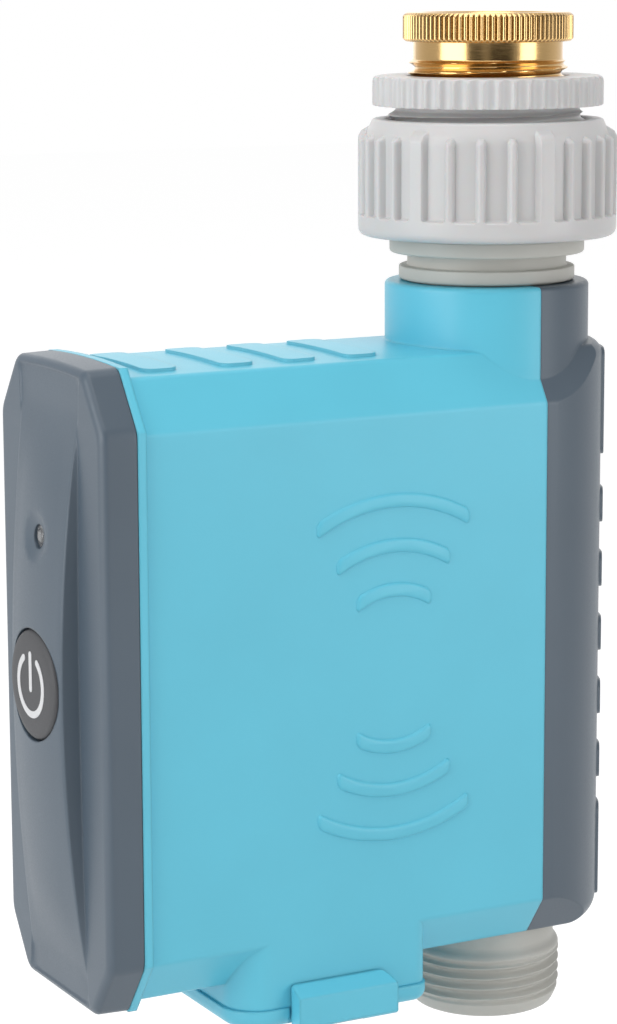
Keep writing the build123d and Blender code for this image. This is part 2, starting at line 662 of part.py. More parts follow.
def front_cover():
    """Dark grey cap: drafted rim wall, bulged panel, indicator dish and button well."""
    base = Plane.XZ.offset(-COVER_BASE) * cover_outline()
    front = Plane.XZ.offset(-COVER_FRONT) * inset(cover_outline(), COVER_DRAFT)
    body = loft([base.faces()[0], front.faces()[0]])
    rim_edges = body.faces().sort_by(Axis.Y)[0].outer_wire().edges()
    body = fillet(rim_edges, COVER_EDGE)
    body += panel_barrel(panel_section()) & block(-FAR, FAR, PANEL_PEAK - 1, PLATE_INNER - 1, -FAR, FAR)
    hollow = inset(cover_outline(), COVER_WALL + COVER_DRAFT)
    spigot = inset(case_outline(), CASE_WALL + SLIP)
    body += along_y(spigot, COVER_BASE - SPIGOT_FOOT, COVER_BASE + SPIGOT_DEPTH)
    body -= along_y(inset(spigot, SPIGOT_WALL), COVER_BASE - SPIGOT_FOOT - 0.5, COVER_BASE + SPIGOT_DEPTH + 1)
    body -= along_y(hollow, PLATE_INNER, COVER_BASE - SPIGOT_FOOT)
    body -= rod(BUTTON_RADIUS + BUTTON_GAP, 0, BUTTON_HEIGHT, PANEL_PEAK - 1, PLATE_INNER + 1)
    pockets = panel_barrel(pocket_section()) & along_y(hollow, PANEL_PEAK, PLATE_INNER + 0.5)
    body -= pockets - rod(BUTTON_RADIUS + BUTTON_GAP + BUTTON_WELL, 0, BUTTON_HEIGHT, PANEL_PEAK - 1, COVER_BASE)
    body += rod(DISH_RADIUS + 1, 0, DISH_HEIGHT, dish_floor(), PLATE_INNER)
    dish_ball = (DISH_RADIUS ** 2 + DISH_DEPTH ** 2) / (2 * DISH_DEPTH)
    body -= Pos(0, dish_mouth() + DISH_DEPTH - dish_ball, DISH_HEIGHT) * Sphere(dish_ball)
    body -= rod(LENS_RADIUS + RUN, 0, DISH_HEIGHT, PANEL_PEAK, PLATE_INNER + 1)
    return body


def panel_face(height):
    """Depth of the panel's middle line at a height."""
    rise = height - MID_HEIGHT
    return PANEL_PEAK + PANEL_SWEEP_RADIUS - sqrt(PANEL_SWEEP_RADIUS ** 2 - rise ** 2)


def dish_mouth():
    return panel_face(DISH_HEIGHT)


def dish_floor():
    return dish_mouth() + DISH_DEPTH / 2


def cover_gasket():
    outer = inset(cover_outline(), (COVER_HALF_WIDTH - CASE_HALF_WIDTH + CASE_WALL - GASKET_WIDTH) / 2 + RUN)
    ring = along_y(outer, RIM_FRONT, RIM_FRONT + GASKET_DEPTH)
    return ring - along_y(inset(outer, GASKET_WIDTH - 2 * RUN), RIM_FRONT - 1, RIM_FRONT + GASKET_DEPTH + 1)


def power_button():
    """Push button: flat round cap, a flange behind the cover and a stem to the switch."""
    flange_front = PLATE_INNER + SLIP
    cap = rod(BUTTON_RADIUS, 0, BUTTON_HEIGHT, PANEL_PEAK, flange_front + BUTTON_FLANGE)
    cap = fillet(cap.edges().filter_by(GeomType.CIRCLE).sort_by(Axis.Y)[0], BUTTON_EDGE)
    cap += rod(BUTTON_FLANGE_RADIUS, 0, BUTTON_HEIGHT, flange_front, flange_front + BUTTON_FLANGE)
    cap -= rod(BUTTON_RADIUS - BUTTON_WALL, 0, BUTTON_HEIGHT, PANEL_PEAK + BUTTON_WALL, flange_front + BUTTON_FLANGE + 1)
    cap += rod(BUTTON_STEM_RADIUS, 0, BUTTON_HEIGHT, PANEL_PEAK + 1, switch_tip() - BUTTON_LEAD)
    return cap - button_ring_place() * seal_groove(button_ring_major(), BUTTON_RING_RADIUS, SLIP / 2)


def button_ring_place():
    return Pos(0, PANEL_PEAK + BUTTON_RING_DEPTH, BUTTON_HEIGHT) * Rot(90, 0, 0)


def button_ring_major():
    return BUTTON_RADIUS + BUTTON_GAP - SLIP - BUTTON_RING_RADIUS


def button_seal():
    return button_ring_place() * seal_ring(button_ring_major(), BUTTON_RING_RADIUS)


def led_light_pipe():
    pipe = rod(LENS_RADIUS, 0, DISH_HEIGHT, dish_mouth() + DISH_DEPTH, board_led_tip() - FREE)
    collar_front = max(PLATE_INNER, dish_floor()) + RUN
    pipe += rod(LENS_FLANGE_RADIUS, 0, DISH_HEIGHT, collar_front, collar_front + LENS_FLANGE)
    return pipe


def switch_tip():
    return BOARD_FRONT - SWITCH_BODY[1] - SWITCH_PLUNGER_REACH


def board_led_tip():
    return BOARD_FRONT - LED_HEIGHT


def board_post_places():
    return [(x, z) for x in (-BOARD_POSTS_X, BOARD_POSTS_X) for z in BOARD_POSTS_Z]


def circuit_board():
    board = block(-BOARD_HALF_WIDTH, BOARD_HALF_WIDTH, BOARD_FRONT, BOARD_BACK, BOARD_BOTTOM, BOARD_TOP)
    board = chamfer(board.edges().filter_by(Axis.Y), 2.0)
    return board - [rod(SCREW_RADIUS + SLIP, x, z, BOARD_FRONT - 1, BOARD_BACK + 1) for x, z in board_post_places()]


def board_screws():
    return Part() + [Pos(x, BOARD_FRONT, z) * Rot(-90, 0, 0) * screw(SCREW_BITE) for x, z in board_post_places()]


def screw(length):
    """Screw that points up from its seat at the origin, with a cross recess in its head."""
    body = Cylinder(SCREW_RADIUS, length, align=BASE)
    body += Pos(0, 0, -SCREW_HEAD) * Cylinder(SCREW_HEAD_RADIUS, SCREW_HEAD, align=BASE)
    for turn in (0, 90):
        body -= Pos(0, 0, -SCREW_HEAD) * Rot(0, 0, turn) * Box(SCREW_HEAD_RADIUS, SCREW_RADIUS / 2, SCREW_HEAD)
    return body


def tact_switch():
    half = SWITCH_BODY[0] / 2
    body = block(-half, half, BOARD_FRONT - SWITCH_BODY[1], BOARD_FRONT, BUTTON_HEIGHT - half, BUTTON_HEIGHT + half)
    return body - rod(SWITCH_PLUNGER_RADIUS + RUN, 0, BUTTON_HEIGHT, BOARD_FRONT - SWITCH_BODY[1] - 1,
                      BOARD_FRONT - 0.8)


def switch_plunger():
    return rod(SWITCH_PLUNGER_RADIUS, 0, BUTTON_HEIGHT, switch_tip(), BOARD_FRONT - 1.4)


def status_led():
    return rod(LED_RADIUS, 0, DISH_HEIGHT, board_led_tip(), BOARD_FRONT)


def radio_module():
    x, z = RADIO_CENTRE
    width, depth, height = RADIO_SIZE
    can = block(x - width / 2, x + width / 2, BOARD_FRONT - depth, BOARD_FRONT, z - height / 2, z + height / 2)
    return fillet(can.edges().filter_by(Axis.Y), 1.0)


def board_capacitor():
    return rod(CAPACITOR_RADIUS, *CAPACITOR_CENTRE, BOARD_BACK, BOARD_BACK + CAPACITOR_LENGTH)


def battery_cover():
    """Door plate with a lip inside the box, a knuckle on one side and an ear for the latch."""
    plate = extrude(Pos(0, 0, DOOR_BOTTOM) * box_plan(DOOR_OVERHANG), DOOR_THICKNESS)
    plate = fillet(plate.faces().sort_by(Axis.Z)[0].outer_wire().edges(), DOOR_EDGE)
    x, z = LATCH_AXIS
    slot = block(CASE_HALF_WIDTH - LATCH_SLOT, FAR, LATCH_FRONT - FREE, LATCH_BACK + FREE, DOOR_BOTTOM - 1, BOX_BOTTOM + 1)
    plate -= slot
    ear = block(CASE_HALF_WIDTH - 2, x, latch_middle() - LATCH_EAR_WIDTH / 2, latch_middle() + LATCH_EAR_WIDTH / 2,
                z - LATCH_EAR_RADIUS, z + LATCH_EAR_RADIUS)
    plate += ear + rod(LATCH_EAR_RADIUS, x, z, latch_middle() - LATCH_EAR_WIDTH / 2, latch_middle() + LATCH_EAR_WIDTH / 2)
    plate -= rod(PIN_RADIUS + RUN, x, z, LATCH_FRONT, LATCH_BACK)

    first, middle, last = knuckle_spans()
    hx, hz = HINGE_AXIS
    for front, back in (first, last):
        reach = CASE_HALF_WIDTH - 0.2
        plate -= block(-FAR, -reach, front - FREE, back + FREE, DOOR_BOTTOM - 1, BOX_BOTTOM + 1)
    plate += rod(KNUCKLE_RADIUS, hx, hz, *middle)
    plate += block(hx, -CASE_HALF_WIDTH + 1, *middle, hz - KNUCKLE_RADIUS, BOX_BOTTOM - 0.1)
    plate -= rod(PIN_RADIUS + RUN, hx, hz, BOX_FRONT, BOX_BACK)

    lip_plan = lip_outline()
    lip = extrude(Pos(0, 0, BOX_BOTTOM - SLIP) * lip_plan, DOOR_LIP_HEIGHT + SLIP)
    lip -= extrude(Pos(0, 0, BOX_BOTTOM) * inset(lip_plan, DOOR_LIP_WALL), DOOR_LIP_HEIGHT + 1)
    return plate + lip


def latch_middle():
    return (LATCH_FRONT + LATCH_BACK) / 2


def lip_outline():
    """Plan of the door's lip, inside the gasket."""
    return inset(box_void(), SLIP + DOOR_GASKET_WIDTH)


def battery_gasket():
    """Rubber ring round the door's lip."""
    ring = extrude(Pos(0, 0, BOX_BOTTOM) * inset(box_void(), SLIP), DOOR_GASKET_HEIGHT)
    return ring - extrude(Pos(0, 0, BOX_BOTTOM - 1) * lip_outline(), DOOR_GASKET_HEIGHT + 2)


def battery_latch():
    """Latch that lies over the box's wall: sloped top, rounded back corner and a round foot."""
    x, z = LATCH_AXIS
    inner = CASE_HALF_WIDTH + FREE
    foot = z - DOOR_BOTTOM
    side = make_face(Polyline((inner, z), (inner, LATCH_TOP), (LATCH_REACH, LATCH_TOP - LATCH_BEVEL),
                              (LATCH_REACH, DOOR_BOTTOM + 0.5), (LATCH_REACH - 0.5, DOOR_BOTTOM), (x, DOOR_BOTTOM),
                              close=True))
    side = side + Pos(x, z) * Circle(foot)
    body = along_y(side, LATCH_FRONT, LATCH_BACK)
    face = make_face(Polyline((LATCH_FRONT, DOOR_BOTTOM), (LATCH_FRONT, LATCH_TOP), (LATCH_BACK, LATCH_TOP),
                              (LATCH_BACK, DOOR_BOTTOM), close=True))
    upper = face.vertices().sort_by(Axis.Y)[-2:].sort_by(Axis.X)
    face = fillet(upper[0], LATCH_FRONT_CORNER)
    face = fillet(face.vertices().sort_by(Axis.Y)[-1], LATCH_BACK_CORNER)
    body &= extrude(Plane.YZ * face, FAR)
    body -= rod(PIN_RADIUS + RUN, x, z, LATCH_FRONT + 1.0, LATCH_BACK + 1)
    middle = latch_middle()
    room = LATCH_EAR_RADIUS + FREE
    body -= block(0, x + room, middle - LATCH_EAR_WIDTH / 2 - FREE, middle + LATCH_EAR_WIDTH / 2 + FREE,
                  DOOR_BOTTOM - 1, z + room)
    return body


def latch_pin():
    return rod(PIN_RADIUS, *LATCH_AXIS, LATCH_FRONT + 1.2, LATCH_BACK - 0.5)


def hinge_pin():
    first, _, last = knuckle_spans()
    return rod(PIN_RADIUS, *HINGE_AXIS, first[0], last[1])


def cell_places():
    half = CELL_SPACING / 2
    return [(x, BOX_CENTRE + y) for x in (-half, half) for y in (-half, half)]


def battery_cell(x, y):
    """Penlight cell, with its rounded shoulders and raised pole."""
    can = Pos(x, y, CELL_BOTTOM) * Cylinder(CELL_RADIUS, CELL_LENGTH, align=BASE)
    can = chamfer(can.edges(), 0.5)
    radius, rise = CELL_NIPPLE
    return can + Pos(x, y, CELL_BOTTOM + CELL_LENGTH) * Cylinder(radius, rise, align=BASE)


def upper_contacts():
    """Two strips under the box's roof, each joining a pair of cells."""
    reach = CELL_SPACING / 2 + 5
    return contact_tabs(0) + [block(x - CONTACT_WIDTH / 2, x + CONTACT_WIDTH / 2, BOX_CENTRE - reach,
                                    BOX_CENTRE + reach, BOX_CEILING - CONTACT_THICKNESS, BOX_CEILING)
                              for x in (-CELL_SPACING / 2, CELL_SPACING / 2)]


def contact_tabs(grow):
    """Tabs that lead from the strips through the box's front wall."""
    half = TAB_WIDTH / 2 + grow
    low = BOX_CEILING - CONTACT_THICKNESS - grow
    return Part() + [block(x - half, x + half, BOX_FRONT - TAB_REACH, BOX_CENTRE - CELL_SPACING / 2 - 4, low,
                           BOX_CEILING + grow) for x in (-CELL_SPACING / 2, CELL_SPACING / 2)]


def cover_contacts():
    """Two bent leaf springs on the door, each joining a pair of cells."""
    half = CELL_SPACING / 2
    floor = BOX_BOTTOM
    gap = CELL_BOTTOM - floor - SLIP
    leaf = [(-half - 5, floor), (-half - 5, floor + CONTACT_THICKNESS)]
    for y in (-half, half):
        leaf += [(y - 4, floor + CONTACT_THICKNESS), (y - 1.2, floor + gap), (y + 1.2, floor + gap),
                 (y + 4, floor + CONTACT_THICKNESS)]
    leaf += [(half + 5, floor + CONTACT_THICKNESS), (half + 5, floor)]
    for y in (half, -half):
        leaf += [(y + 4, floor), (y + 1.2, floor + gap - CONTACT_THICKNESS),
                 (y - 1.2, floor + gap - CONTACT_THICKNESS), (y - 4, floor)]
    outline = make_face(Polyline(*leaf, close=True))
    strips = Part()
    for x in (-half, half):
        strips += Pos(x - CONTACT_WIDTH / 2, BOX_CENTRE, 0) * extrude(Plane.YZ * outline, CONTACT_WIDTH)
    return strips


def valve_body():
    """Pipe with the outlet thread below, the ball's chamber above and the stem's boss in front."""
    r, z = OUTLET_LEAD
    body = solid_of([(0, OUTLET_BOTTOM), (G34_RADIUS - r, OUTLET_BOTTOM), (G34_RADIUS, OUTLET_BOTTOM + z),
                     (G34_RADIUS, OUTLET_THREAD_TOP), (PIPE_RADIUS, OUTLET_THREAD_TOP + 2.0),
                     (PIPE_RADIUS, CHAMBER_FLOOR - 5), (CHAMBER_OUTER, CHAMBER_FLOOR - 3),
                     (CHAMBER_OUTER, BONNET_SHOULDER), (0, BONNET_SHOULDER)])
    body += rod(STEM_BOSS_RADIUS, *STEM_AXIS, STEM_BOSS_END, 0)
    body -= drum(CHAMBER_RADIUS, CHAMBER_FLOOR, CHAMBER_TOP + 1)
    body -= drum(BONNET_PLUG_RADIUS + SLIP, CHAMBER_TOP, BONNET_SHOULDER + 1)
    body -= drum(SEAT_BORE, CHAMBER_FLOOR - 6, CHAMBER_FLOOR + 1)
    body -= drum(PIPE_BORE, OUTLET_BOTTOM, CHAMBER_FLOOR - 3)
    body -= drum(OUTLET_MOUTH, OUTLET_BOTTOM - 1, OUTLET_BOTTOM + OUTLET_MOUTH_DEPTH)
    body -= rod(STEM_RADIUS + RUN, *STEM_AXIS, STEM_BOSS_END - 1, 0)
    return body


def valve_bonnet():
    """Neck that closes the chamber, with the two flanges seen above the collar."""
    low_r, low_z0, low_z1 = BONNET_LOW_FLANGE[0], LOW_FLANGE_BOTTOM, LOW_FLANGE_TOP
    high_r, high_z0, high_z1 = BONNET_HIGH_FLANGE[0], HIGH_FLANGE_BOTTOM, HIGH_FLANGE_TOP
    edge = BONNET_FLANGE_EDGE
    body = solid_of([(0, CHAMBER_TOP), (BONNET_PLUG_RADIUS, CHAMBER_TOP), (BONNET_PLUG_RADIUS, BONNET_SHOULDER),
                     (CHAMBER_OUTER, BONNET_SHOULDER), (CHAMBER_OUTER, BONNET_SHOULDER + BONNET_FLANGE),
                     (BONNET_RADIUS, BONNET_SHOULDER + BONNET_FLANGE + 1), (BONNET_RADIUS, low_z0),
                     (low_r - edge, low_z0), (low_r, low_z0 + edge), (low_r, low_z1 - edge),
                     (low_r - edge, low_z1), (BONNET_RADIUS, low_z1), (BONNET_RADIUS, high_z0),
                     (high_r - edge, high_z0), (high_r, high_z0 + edge), (high_r, high_z1), (0, high_z1)])
    body -= drum(BONNET_BORE, CHAMBER_TOP - 1, high_z1 + 1)
    body -= drum(SLEEVE_RADIUS + RUN, BONNET_SOCKET_FLOOR, high_z1 + 1)
    return body - bonnet_ring_place() * seal_groove(bonnet_ring_major(), BONNET_RING_RADIUS, RUN)


def bonnet_ring_place():
    return Pos(0, 0, CHAMBER_TOP + BONNET_PLUG / 2)


def bonnet_ring_major():
    return BONNET_PLUG_RADIUS - BONNET_RING_RADIUS + RUN


def bonnet_seal():
    return bonnet_ring_place() * seal_ring(bonnet_ring_major(), BONNET_RING_RADIUS)


def seat(side):
    """Ring that the ball turns against, with the ball's own curve in its face."""
    low, high = sorted((VALVE_AXIS + side * SEAT_REACH, VALVE_AXIS + side * (BALL_RADIUS - SEAT_HEIGHT - 1.8)))
    ring = tube(SEAT_RADIUS, SEAT_BORE, low, high)
    return ring - Pos(0, 0, VALVE_AXIS) * Sphere(BALL_RADIUS + RUN)


def valve_ball():
    """Closed at rest: its bore lies across the pipe, and a slot takes the stem."""
    ball = Pos(0, 0, VALVE_AXIS) * Sphere(BALL_RADIUS)
    ball -= Pos(0, 0, VALVE_AXIS) * Rot(0, 90, 0) * Cylinder(BALL_BORE, 3 * BALL_RADIUS)
    half = TANG_WIDTH / 2 + SLIP / 2
    slot = block(-BALL_RADIUS, BALL_RADIUS, -BALL_RADIUS - 1, -BALL_RADIUS + TANG_DEPTH + SLIP,
                 VALVE_AXIS - half, VALVE_AXIS + half)
    return ball - slot


def valve_stem():
    """Stem from the ball through its boss to the gear, with ring grooves and an end journal."""
    half = TANG_WIDTH / 2
    tang = block(-STEM_RADIUS, STEM_RADIUS, -BALL_RADIUS - 1, -BALL_RADIUS + TANG_DEPTH, VALVE_AXIS - half,
                 VALVE_AXIS + half) & rod(STEM_RADIUS - 0.3, *STEM_AXIS, -BALL_RADIUS - 1, 0)
    stem = tang + rod(STEM_RADIUS, *STEM_AXIS, REAR_PLATE_FRONT - FREE, -BALL_RADIUS - FREE)
    stem += along_y(stem_square(0), STEM_GEAR_BACK - STEM_GEAR_WIDTH - FREE, REAR_PLATE_FRONT - FREE)
    stem += rod(STEM_JOURNAL, *STEM_AXIS, FRONT_PLATE_FRONT + 0.2, STEM_GEAR_BACK - STEM_GEAR_WIDTH)
    for place in stem_ring_places():
        stem -= place * seal_groove(stem_ring_major(), STEM_RING_RADIUS, RUN / 2)
    return stem


def stem_ring_places():
    return [Pos(0, y, VALVE_AXIS) * Rot(90, 0, 0) for y in STEM_RINGS]


def stem_ring_major():
    return STEM_RADIUS - STEM_RING_RADIUS + RUN / 2


def stem_square(grow):
    side = STEM_RADIUS * 1.3 + 2 * grow
    return Pos(*STEM_AXIS) * Rectangle(side, side)


def stem_seals():
    return Part() + [place * seal_ring(stem_ring_major(), STEM_RING_RADIUS) for place in stem_ring_places()]


def gear_outline(teeth, module):
    """Spur gear outline with a tooth centred on its first axis; flanks are involutes on three points."""
    pitch_r = teeth * module / 2
    base_r = pitch_r * cos(radians(PRESSURE_ANGLE))
    tip_r = pitch_r + module
    root_r = pitch_r - 1.25 * module
    inv_pitch = tan(radians(PRESSURE_ANGLE)) - radians(PRESSURE_ANGLE)
    half_at_pitch = pi / (2 * teeth) - GEAR_PLAY * module / pitch_r

    def half_angle(radius):
        if radius <= base_r:
            return half_at_pitch + inv_pitch
        roll = acos(base_r / radius)
        return half_at_pitch + inv_pitch - (tan(roll) - roll)

    start_r = max(base_r, root_r)
    flank = [(start_r, half_angle(start_r)), ((start_r + tip_r) / 2, half_angle((start_r + tip_r) / 2)),
             (tip_r, half_angle(tip_r))]
    undercut = half_angle(start_r) * (0.8 if root_r < base_r else 1.0)
    points = []
    for tooth in range(teeth):
        centre = 2 * pi * tooth / teeth
        half = [(root_r, undercut)] + flank
        for radius, angle in [(r, -a) for r, a in half] + [(r, a) for r, a in reversed(half)]:
            points.append((radius * cos(centre + angle), radius * sin(centre + angle)))
    return make_face(Polyline(*points, close=True))


def gear(teeth, module, axis, towards, gap, front, width):
    """Gear on an axis along Y, turned so that a tooth, or a gap, faces its mate."""
    turn = degrees(atan2(towards[1] - axis[1], towards[0] - axis[0]))
    turn += 180 / teeth if gap else 0
    return along_y(Pos(*axis) * Rot(0, 0, turn) * gear_outline(teeth, module), front, front + width)


def stem_gear_front():
    return STEM_GEAR_BACK - STEM_GEAR_WIDTH


def motor_gear_front():
    return MOTOR_GEAR_BACK - MOTOR_GEAR_WIDTH


def output_gear():
    wheel = gear(WHEEL_TEETH, STEM_MODULE, STEM_AXIS, COMPOUND_AXIS, False, stem_gear_front(), STEM_GEAR_WIDTH)
    wheel -= along_y(stem_square(RUN), stem_gear_front() - 1, STEM_GEAR_BACK + 1)
    recess = Pos(*STEM_AXIS) * (Circle(WHEEL_TEETH * STEM_MODULE / 2 - 2.4) - Circle(4.6))
    wheel -= along_y(recess, stem_gear_front() - 1, stem_gear_front() + 1.2)
    return wheel - rod(MAGNET_RADIUS + RUN, STEM_AXIS[0], STEM_AXIS[1] + MAGNET_OFFSET, stem_gear_front() - 1,
                       stem_gear_front() + 2.4)


def gear_magnet():
    return rod(MAGNET_RADIUS, STEM_AXIS[0], STEM_AXIS[1] + MAGNET_OFFSET, stem_gear_front() + 0.6,
               stem_gear_front() + 2.4)


def position_sensor():
    """Small sensor on the gearbox plate, opposite the magnet's closed place."""
    x, z = STEM_AXIS[0], STEM_AXIS[1] + MAGNET_OFFSET
    return block(x - 3, x + 3, FRONT_PLATE_BACK, FRONT_PLATE_BACK + 1.8, z - 2, z + 2)


def compound_gear():
    """Large wheel and small pinion moulded as one."""
    pinion = gear(PINION_TEETH, STEM_MODULE, COMPOUND_AXIS, STEM_AXIS, True, stem_gear_front(), STEM_GEAR_WIDTH)
    wheel = gear(WHEEL_TEETH, MOTOR_MODULE, COMPOUND_AXIS, MOTOR_AXIS, False, motor_gear_front(), MOTOR_GEAR_WIDTH)
    hub = rod(GEAR_HUB_RADIUS, *COMPOUND_AXIS, motor_gear_front(), STEM_GEAR_BACK)
    return pinion + wheel + hub - rod(SHAFT_RADIUS + RUN, *COMPOUND_AXIS, FRONT_PLATE_FRONT, REAR_PLATE_BACK)


def compound_shaft():
    return rod(SHAFT_RADIUS, *COMPOUND_AXIS, FRONT_PLATE_FRONT + 0.2, REAR_PLATE_BACK - 0.2)


def motor_pinion():
    pinion = gear(PINION_TEETH, MOTOR_MODULE, MOTOR_AXIS, COMPOUND_AXIS, True, motor_gear_front(), MOTOR_GEAR_WIDTH)
    pinion += rod(MOTOR_SHAFT_RADIUS, *MOTOR_AXIS, FRONT_PLATE_FRONT - 0.5, motor_gear_front() + 1)
    return pinion


def gear_motor():
    """Sealed gear motor: round can, front boss with its bearing hole, and two terminals."""
    x, z = MOTOR_AXIS
    front = FRONT_PLATE_FRONT - MOTOR_LENGTH
    can = rod(MOTOR_RADIUS, x, z, front, FRONT_PLATE_FRONT)
    can = chamfer(can.edges().filter_by(GeomType.CIRCLE).sort_by(Axis.Y)[0], 1.0)
    can += rod(MOTOR_BOSS_RADIUS, x, z, FRONT_PLATE_FRONT - 1, FRONT_PLATE_BACK - 0.2)
    can -= rod(MOTOR_SHAFT_RADIUS + RUN, x, z, FRONT_PLATE_FRONT - 1, FRONT_PLATE_BACK + 1)
    for side in (-1, 1):
        tab_x = x + side * TERMINAL_OFFSET
        can += block(tab_x - 1.2, tab_x + 1.2, front - TERMINAL_LENGTH, front + 1, z - 0.25, z + 0.25)
    return can


def post_places():
    """Places of the gearbox's posts in x and z."""
    return [(x, VALVE_AXIS + rise) for x, rise in POSTS]


def gearbox_plate(front, back):
    above = Pos(0, BOX_CEILING + BOX_ROOF + FREE + FAR / 2) * Rectangle(FAR, FAR)
    outline = inset(case_outline(), CASE_WALL + FREE) & above
    plate = along_y(outline, front, back)
    return plate - [rod(SCREW_RADIUS + SLIP, x, z, front - 1, back + 1) for x, z in post_places()]


def gearbox_front_plate():
    plate = gearbox_plate(FRONT_PLATE_FRONT, FRONT_PLATE_BACK)
    plate -= rod(MOTOR_BOSS_RADIUS + SLIP, *MOTOR_AXIS, FRONT_PLATE_FRONT - 1, FRONT_PLATE_BACK + 1)
    plate -= rod(STEM_JOURNAL + RUN, *STEM_AXIS, FRONT_PLATE_FRONT - 1, FRONT_PLATE_BACK + 1)
    return plate - rod(SHAFT_RADIUS + RUN / 2, *COMPOUND_AXIS, FRONT_PLATE_FRONT - 1, FRONT_PLATE_BACK + 1)


def gearbox_rear_plate():
    """Plate behind the gears, with the four posts that space it from the front plate."""
    plate = gearbox_plate(REAR_PLATE_FRONT, REAR_PLATE_BACK)
    for x, z in post_places():
        plate += rod(POST_RADIUS, x, z, FRONT_PLATE_BACK, REAR_PLATE_FRONT)
        plate -= rod(SCREW_RADIUS + SLIP, x, z, FRONT_PLATE_BACK - 1, REAR_PLATE_BACK + 1)
    plate -= rod(STEM_RADIUS + SLIP, *STEM_AXIS, REAR_PLATE_FRONT - 1, REAR_PLATE_BACK + 1)
    return plate - rod(SHAFT_RADIUS + RUN / 2, *COMPOUND_AXIS, REAR_PLATE_FRONT - 1, REAR_PLATE_BACK + 1)


def gearbox_screws():
    return Part() + [Pos(x, REAR_PLATE_BACK, z) * Rot(90, 0, 0) * screw(REAR_PLATE_BACK - BULKHEAD_FRONT)
                     for x, z in post_places()]


def case_screws():
    return Part() + [Pos(x, y, FLOOR_SCREW_SEAT) * screw(SCREW_BITE) for x, y in floor_screw_places()]


def inlet_sleeve():
    """Tube that hangs the nut: its flange sits above the nut's lip."""
    body = solid_of([(0, BONNET_SOCKET_FLOOR), (SLEEVE_RADIUS, BONNET_SOCKET_FLOOR),
                     (SLEEVE_RADIUS, SLEEVE_TOP - SLEEVE_FLANGE), (SLEEVE_FLANGE_RADIUS, SLEEVE_TOP - SLEEVE_FLANGE),
                     (SLEEVE_FLANGE_RADIUS, SLEEVE_TOP), (0, SLEEVE_TOP)])
    body -= drum(SLEEVE_BORE, BONNET_SOCKET_FLOOR - 1, SLEEVE_TOP + 1)
    return body - drum(FILTER_RADIUS + SLIP, SLEEVE_TOP - FILTER_RIM, SLEEVE_TOP + 1)


def inlet_filter():
    """Filter cup that hangs in the sleeve from its rim."""
    floor = SLEEVE_TOP - FILTER_RIM - FILTER_CUP
    rim = tube(FILTER_RADIUS, FILTER_CUP_RADIUS - FILTER_WALL, SLEEVE_TOP - FILTER_RIM, SLEEVE_TOP)
    cup = drum(FILTER_CUP_RADIUS, floor, SLEEVE_TOP - FILTER_RIM / 2)
    cup -= drum(FILTER_CUP_RADIUS - FILTER_WALL, floor + FILTER_WALL, SLEEVE_TOP + 1)
    return rim + cup


def washer(outer, inner, low, thickness):
    return tube(outer, inner, low, low + thickness)


def nut_rib(angle, widths, top):
    """Rib or lug that stands from the nut's valley: its face and its foot have their own widths."""
    face, foot = widths
    inner = NUT_RADIUS - NUT_VALLEY - 1
    plan = make_face(Polyline((inner, -foot / 2), (NUT_RADIUS - NUT_VALLEY, -foot / 2), (NUT_RADIUS + 2, -face / 2),
                              (NUT_RADIUS + 2, face / 2), (NUT_RADIUS - NUT_VALLEY, foot / 2), (inner, foot / 2),
                              close=True))
    return Rot(0, 0, angle) * Pos(0, 0, NUT_BOTTOM) * extrude(plan, top - NUT_BOTTOM)


def nut_ribs():
    """Six lugs, with three and four narrow ribs by turns between them."""
    ribs = []
    for lug in range(NUT_LUGS):
        start = NUT_TURN + 360 / NUT_LUGS * lug
        ribs.append(nut_rib(start, NUT_LUG_WIDTH, NUT_TOP - NUT_LUG_TOP))
        count, step = NUT_RIB_STEPS[(lug + 1) % 2]
        middle = start + 180 / NUT_LUGS
        ribs += [nut_rib(middle + step * (n - (count - 1) / 2), (NUT_RIB_WIDTH, NUT_RIB_WIDTH), NUT_TOP - NUT_RIB_TOP)
                 for n in range(count)]
    return ribs


def swivel_nut():
    """Nut with lugs and narrow ribs over a plain bottom band, and a sloped shoulder."""
    valley = NUT_RADIUS - NUT_VALLEY
    crest = NUT_RADIUS + NUT_RIB_RISE
    band = NUT_BOTTOM + NUT_BAND
    body = solid_of([(0, NUT_BOTTOM), (crest - NUT_BOTTOM_ROUND, NUT_BOTTOM), (crest, NUT_BOTTOM + NUT_BOTTOM_ROUND),
                     (crest, band), (valley, band), (valley, NUT_TOP - NUT_TOP_CHAMFER - NUT_VALLEY),
                     (NUT_TOP_RADIUS, NUT_TOP), (0, NUT_TOP)])
    envelope = solid_of([(0, NUT_BOTTOM), (crest, NUT_BOTTOM + NUT_BOTTOM_ROUND),
                         (crest, NUT_TOP - NUT_TOP_CHAMFER - NUT_VALLEY - 0.5), (NUT_TOP_RADIUS, NUT_TOP),
                         (0, NUT_TOP)])
    body += Part() + nut_ribs() & envelope
    body -= drum(SLEEVE_RADIUS + RUN + 0.03, NUT_BOTTOM - 1, NUT_TOP)
    body -= drum(G1_RADIUS + RUN, NUT_BOTTOM + NUT_LIP, NUT_TOP + 1)
    mouth = G1_RADIUS + RUN + NUT_MOUTH
    return body - solid_of([(0, NUT_TOP - NUT_MOUTH), (mouth - NUT_MOUTH, NUT_TOP - NUT_MOUTH), (mouth, NUT_TOP),
                            (mouth, NUT_TOP + 1), (0, NUT_TOP + 1)])


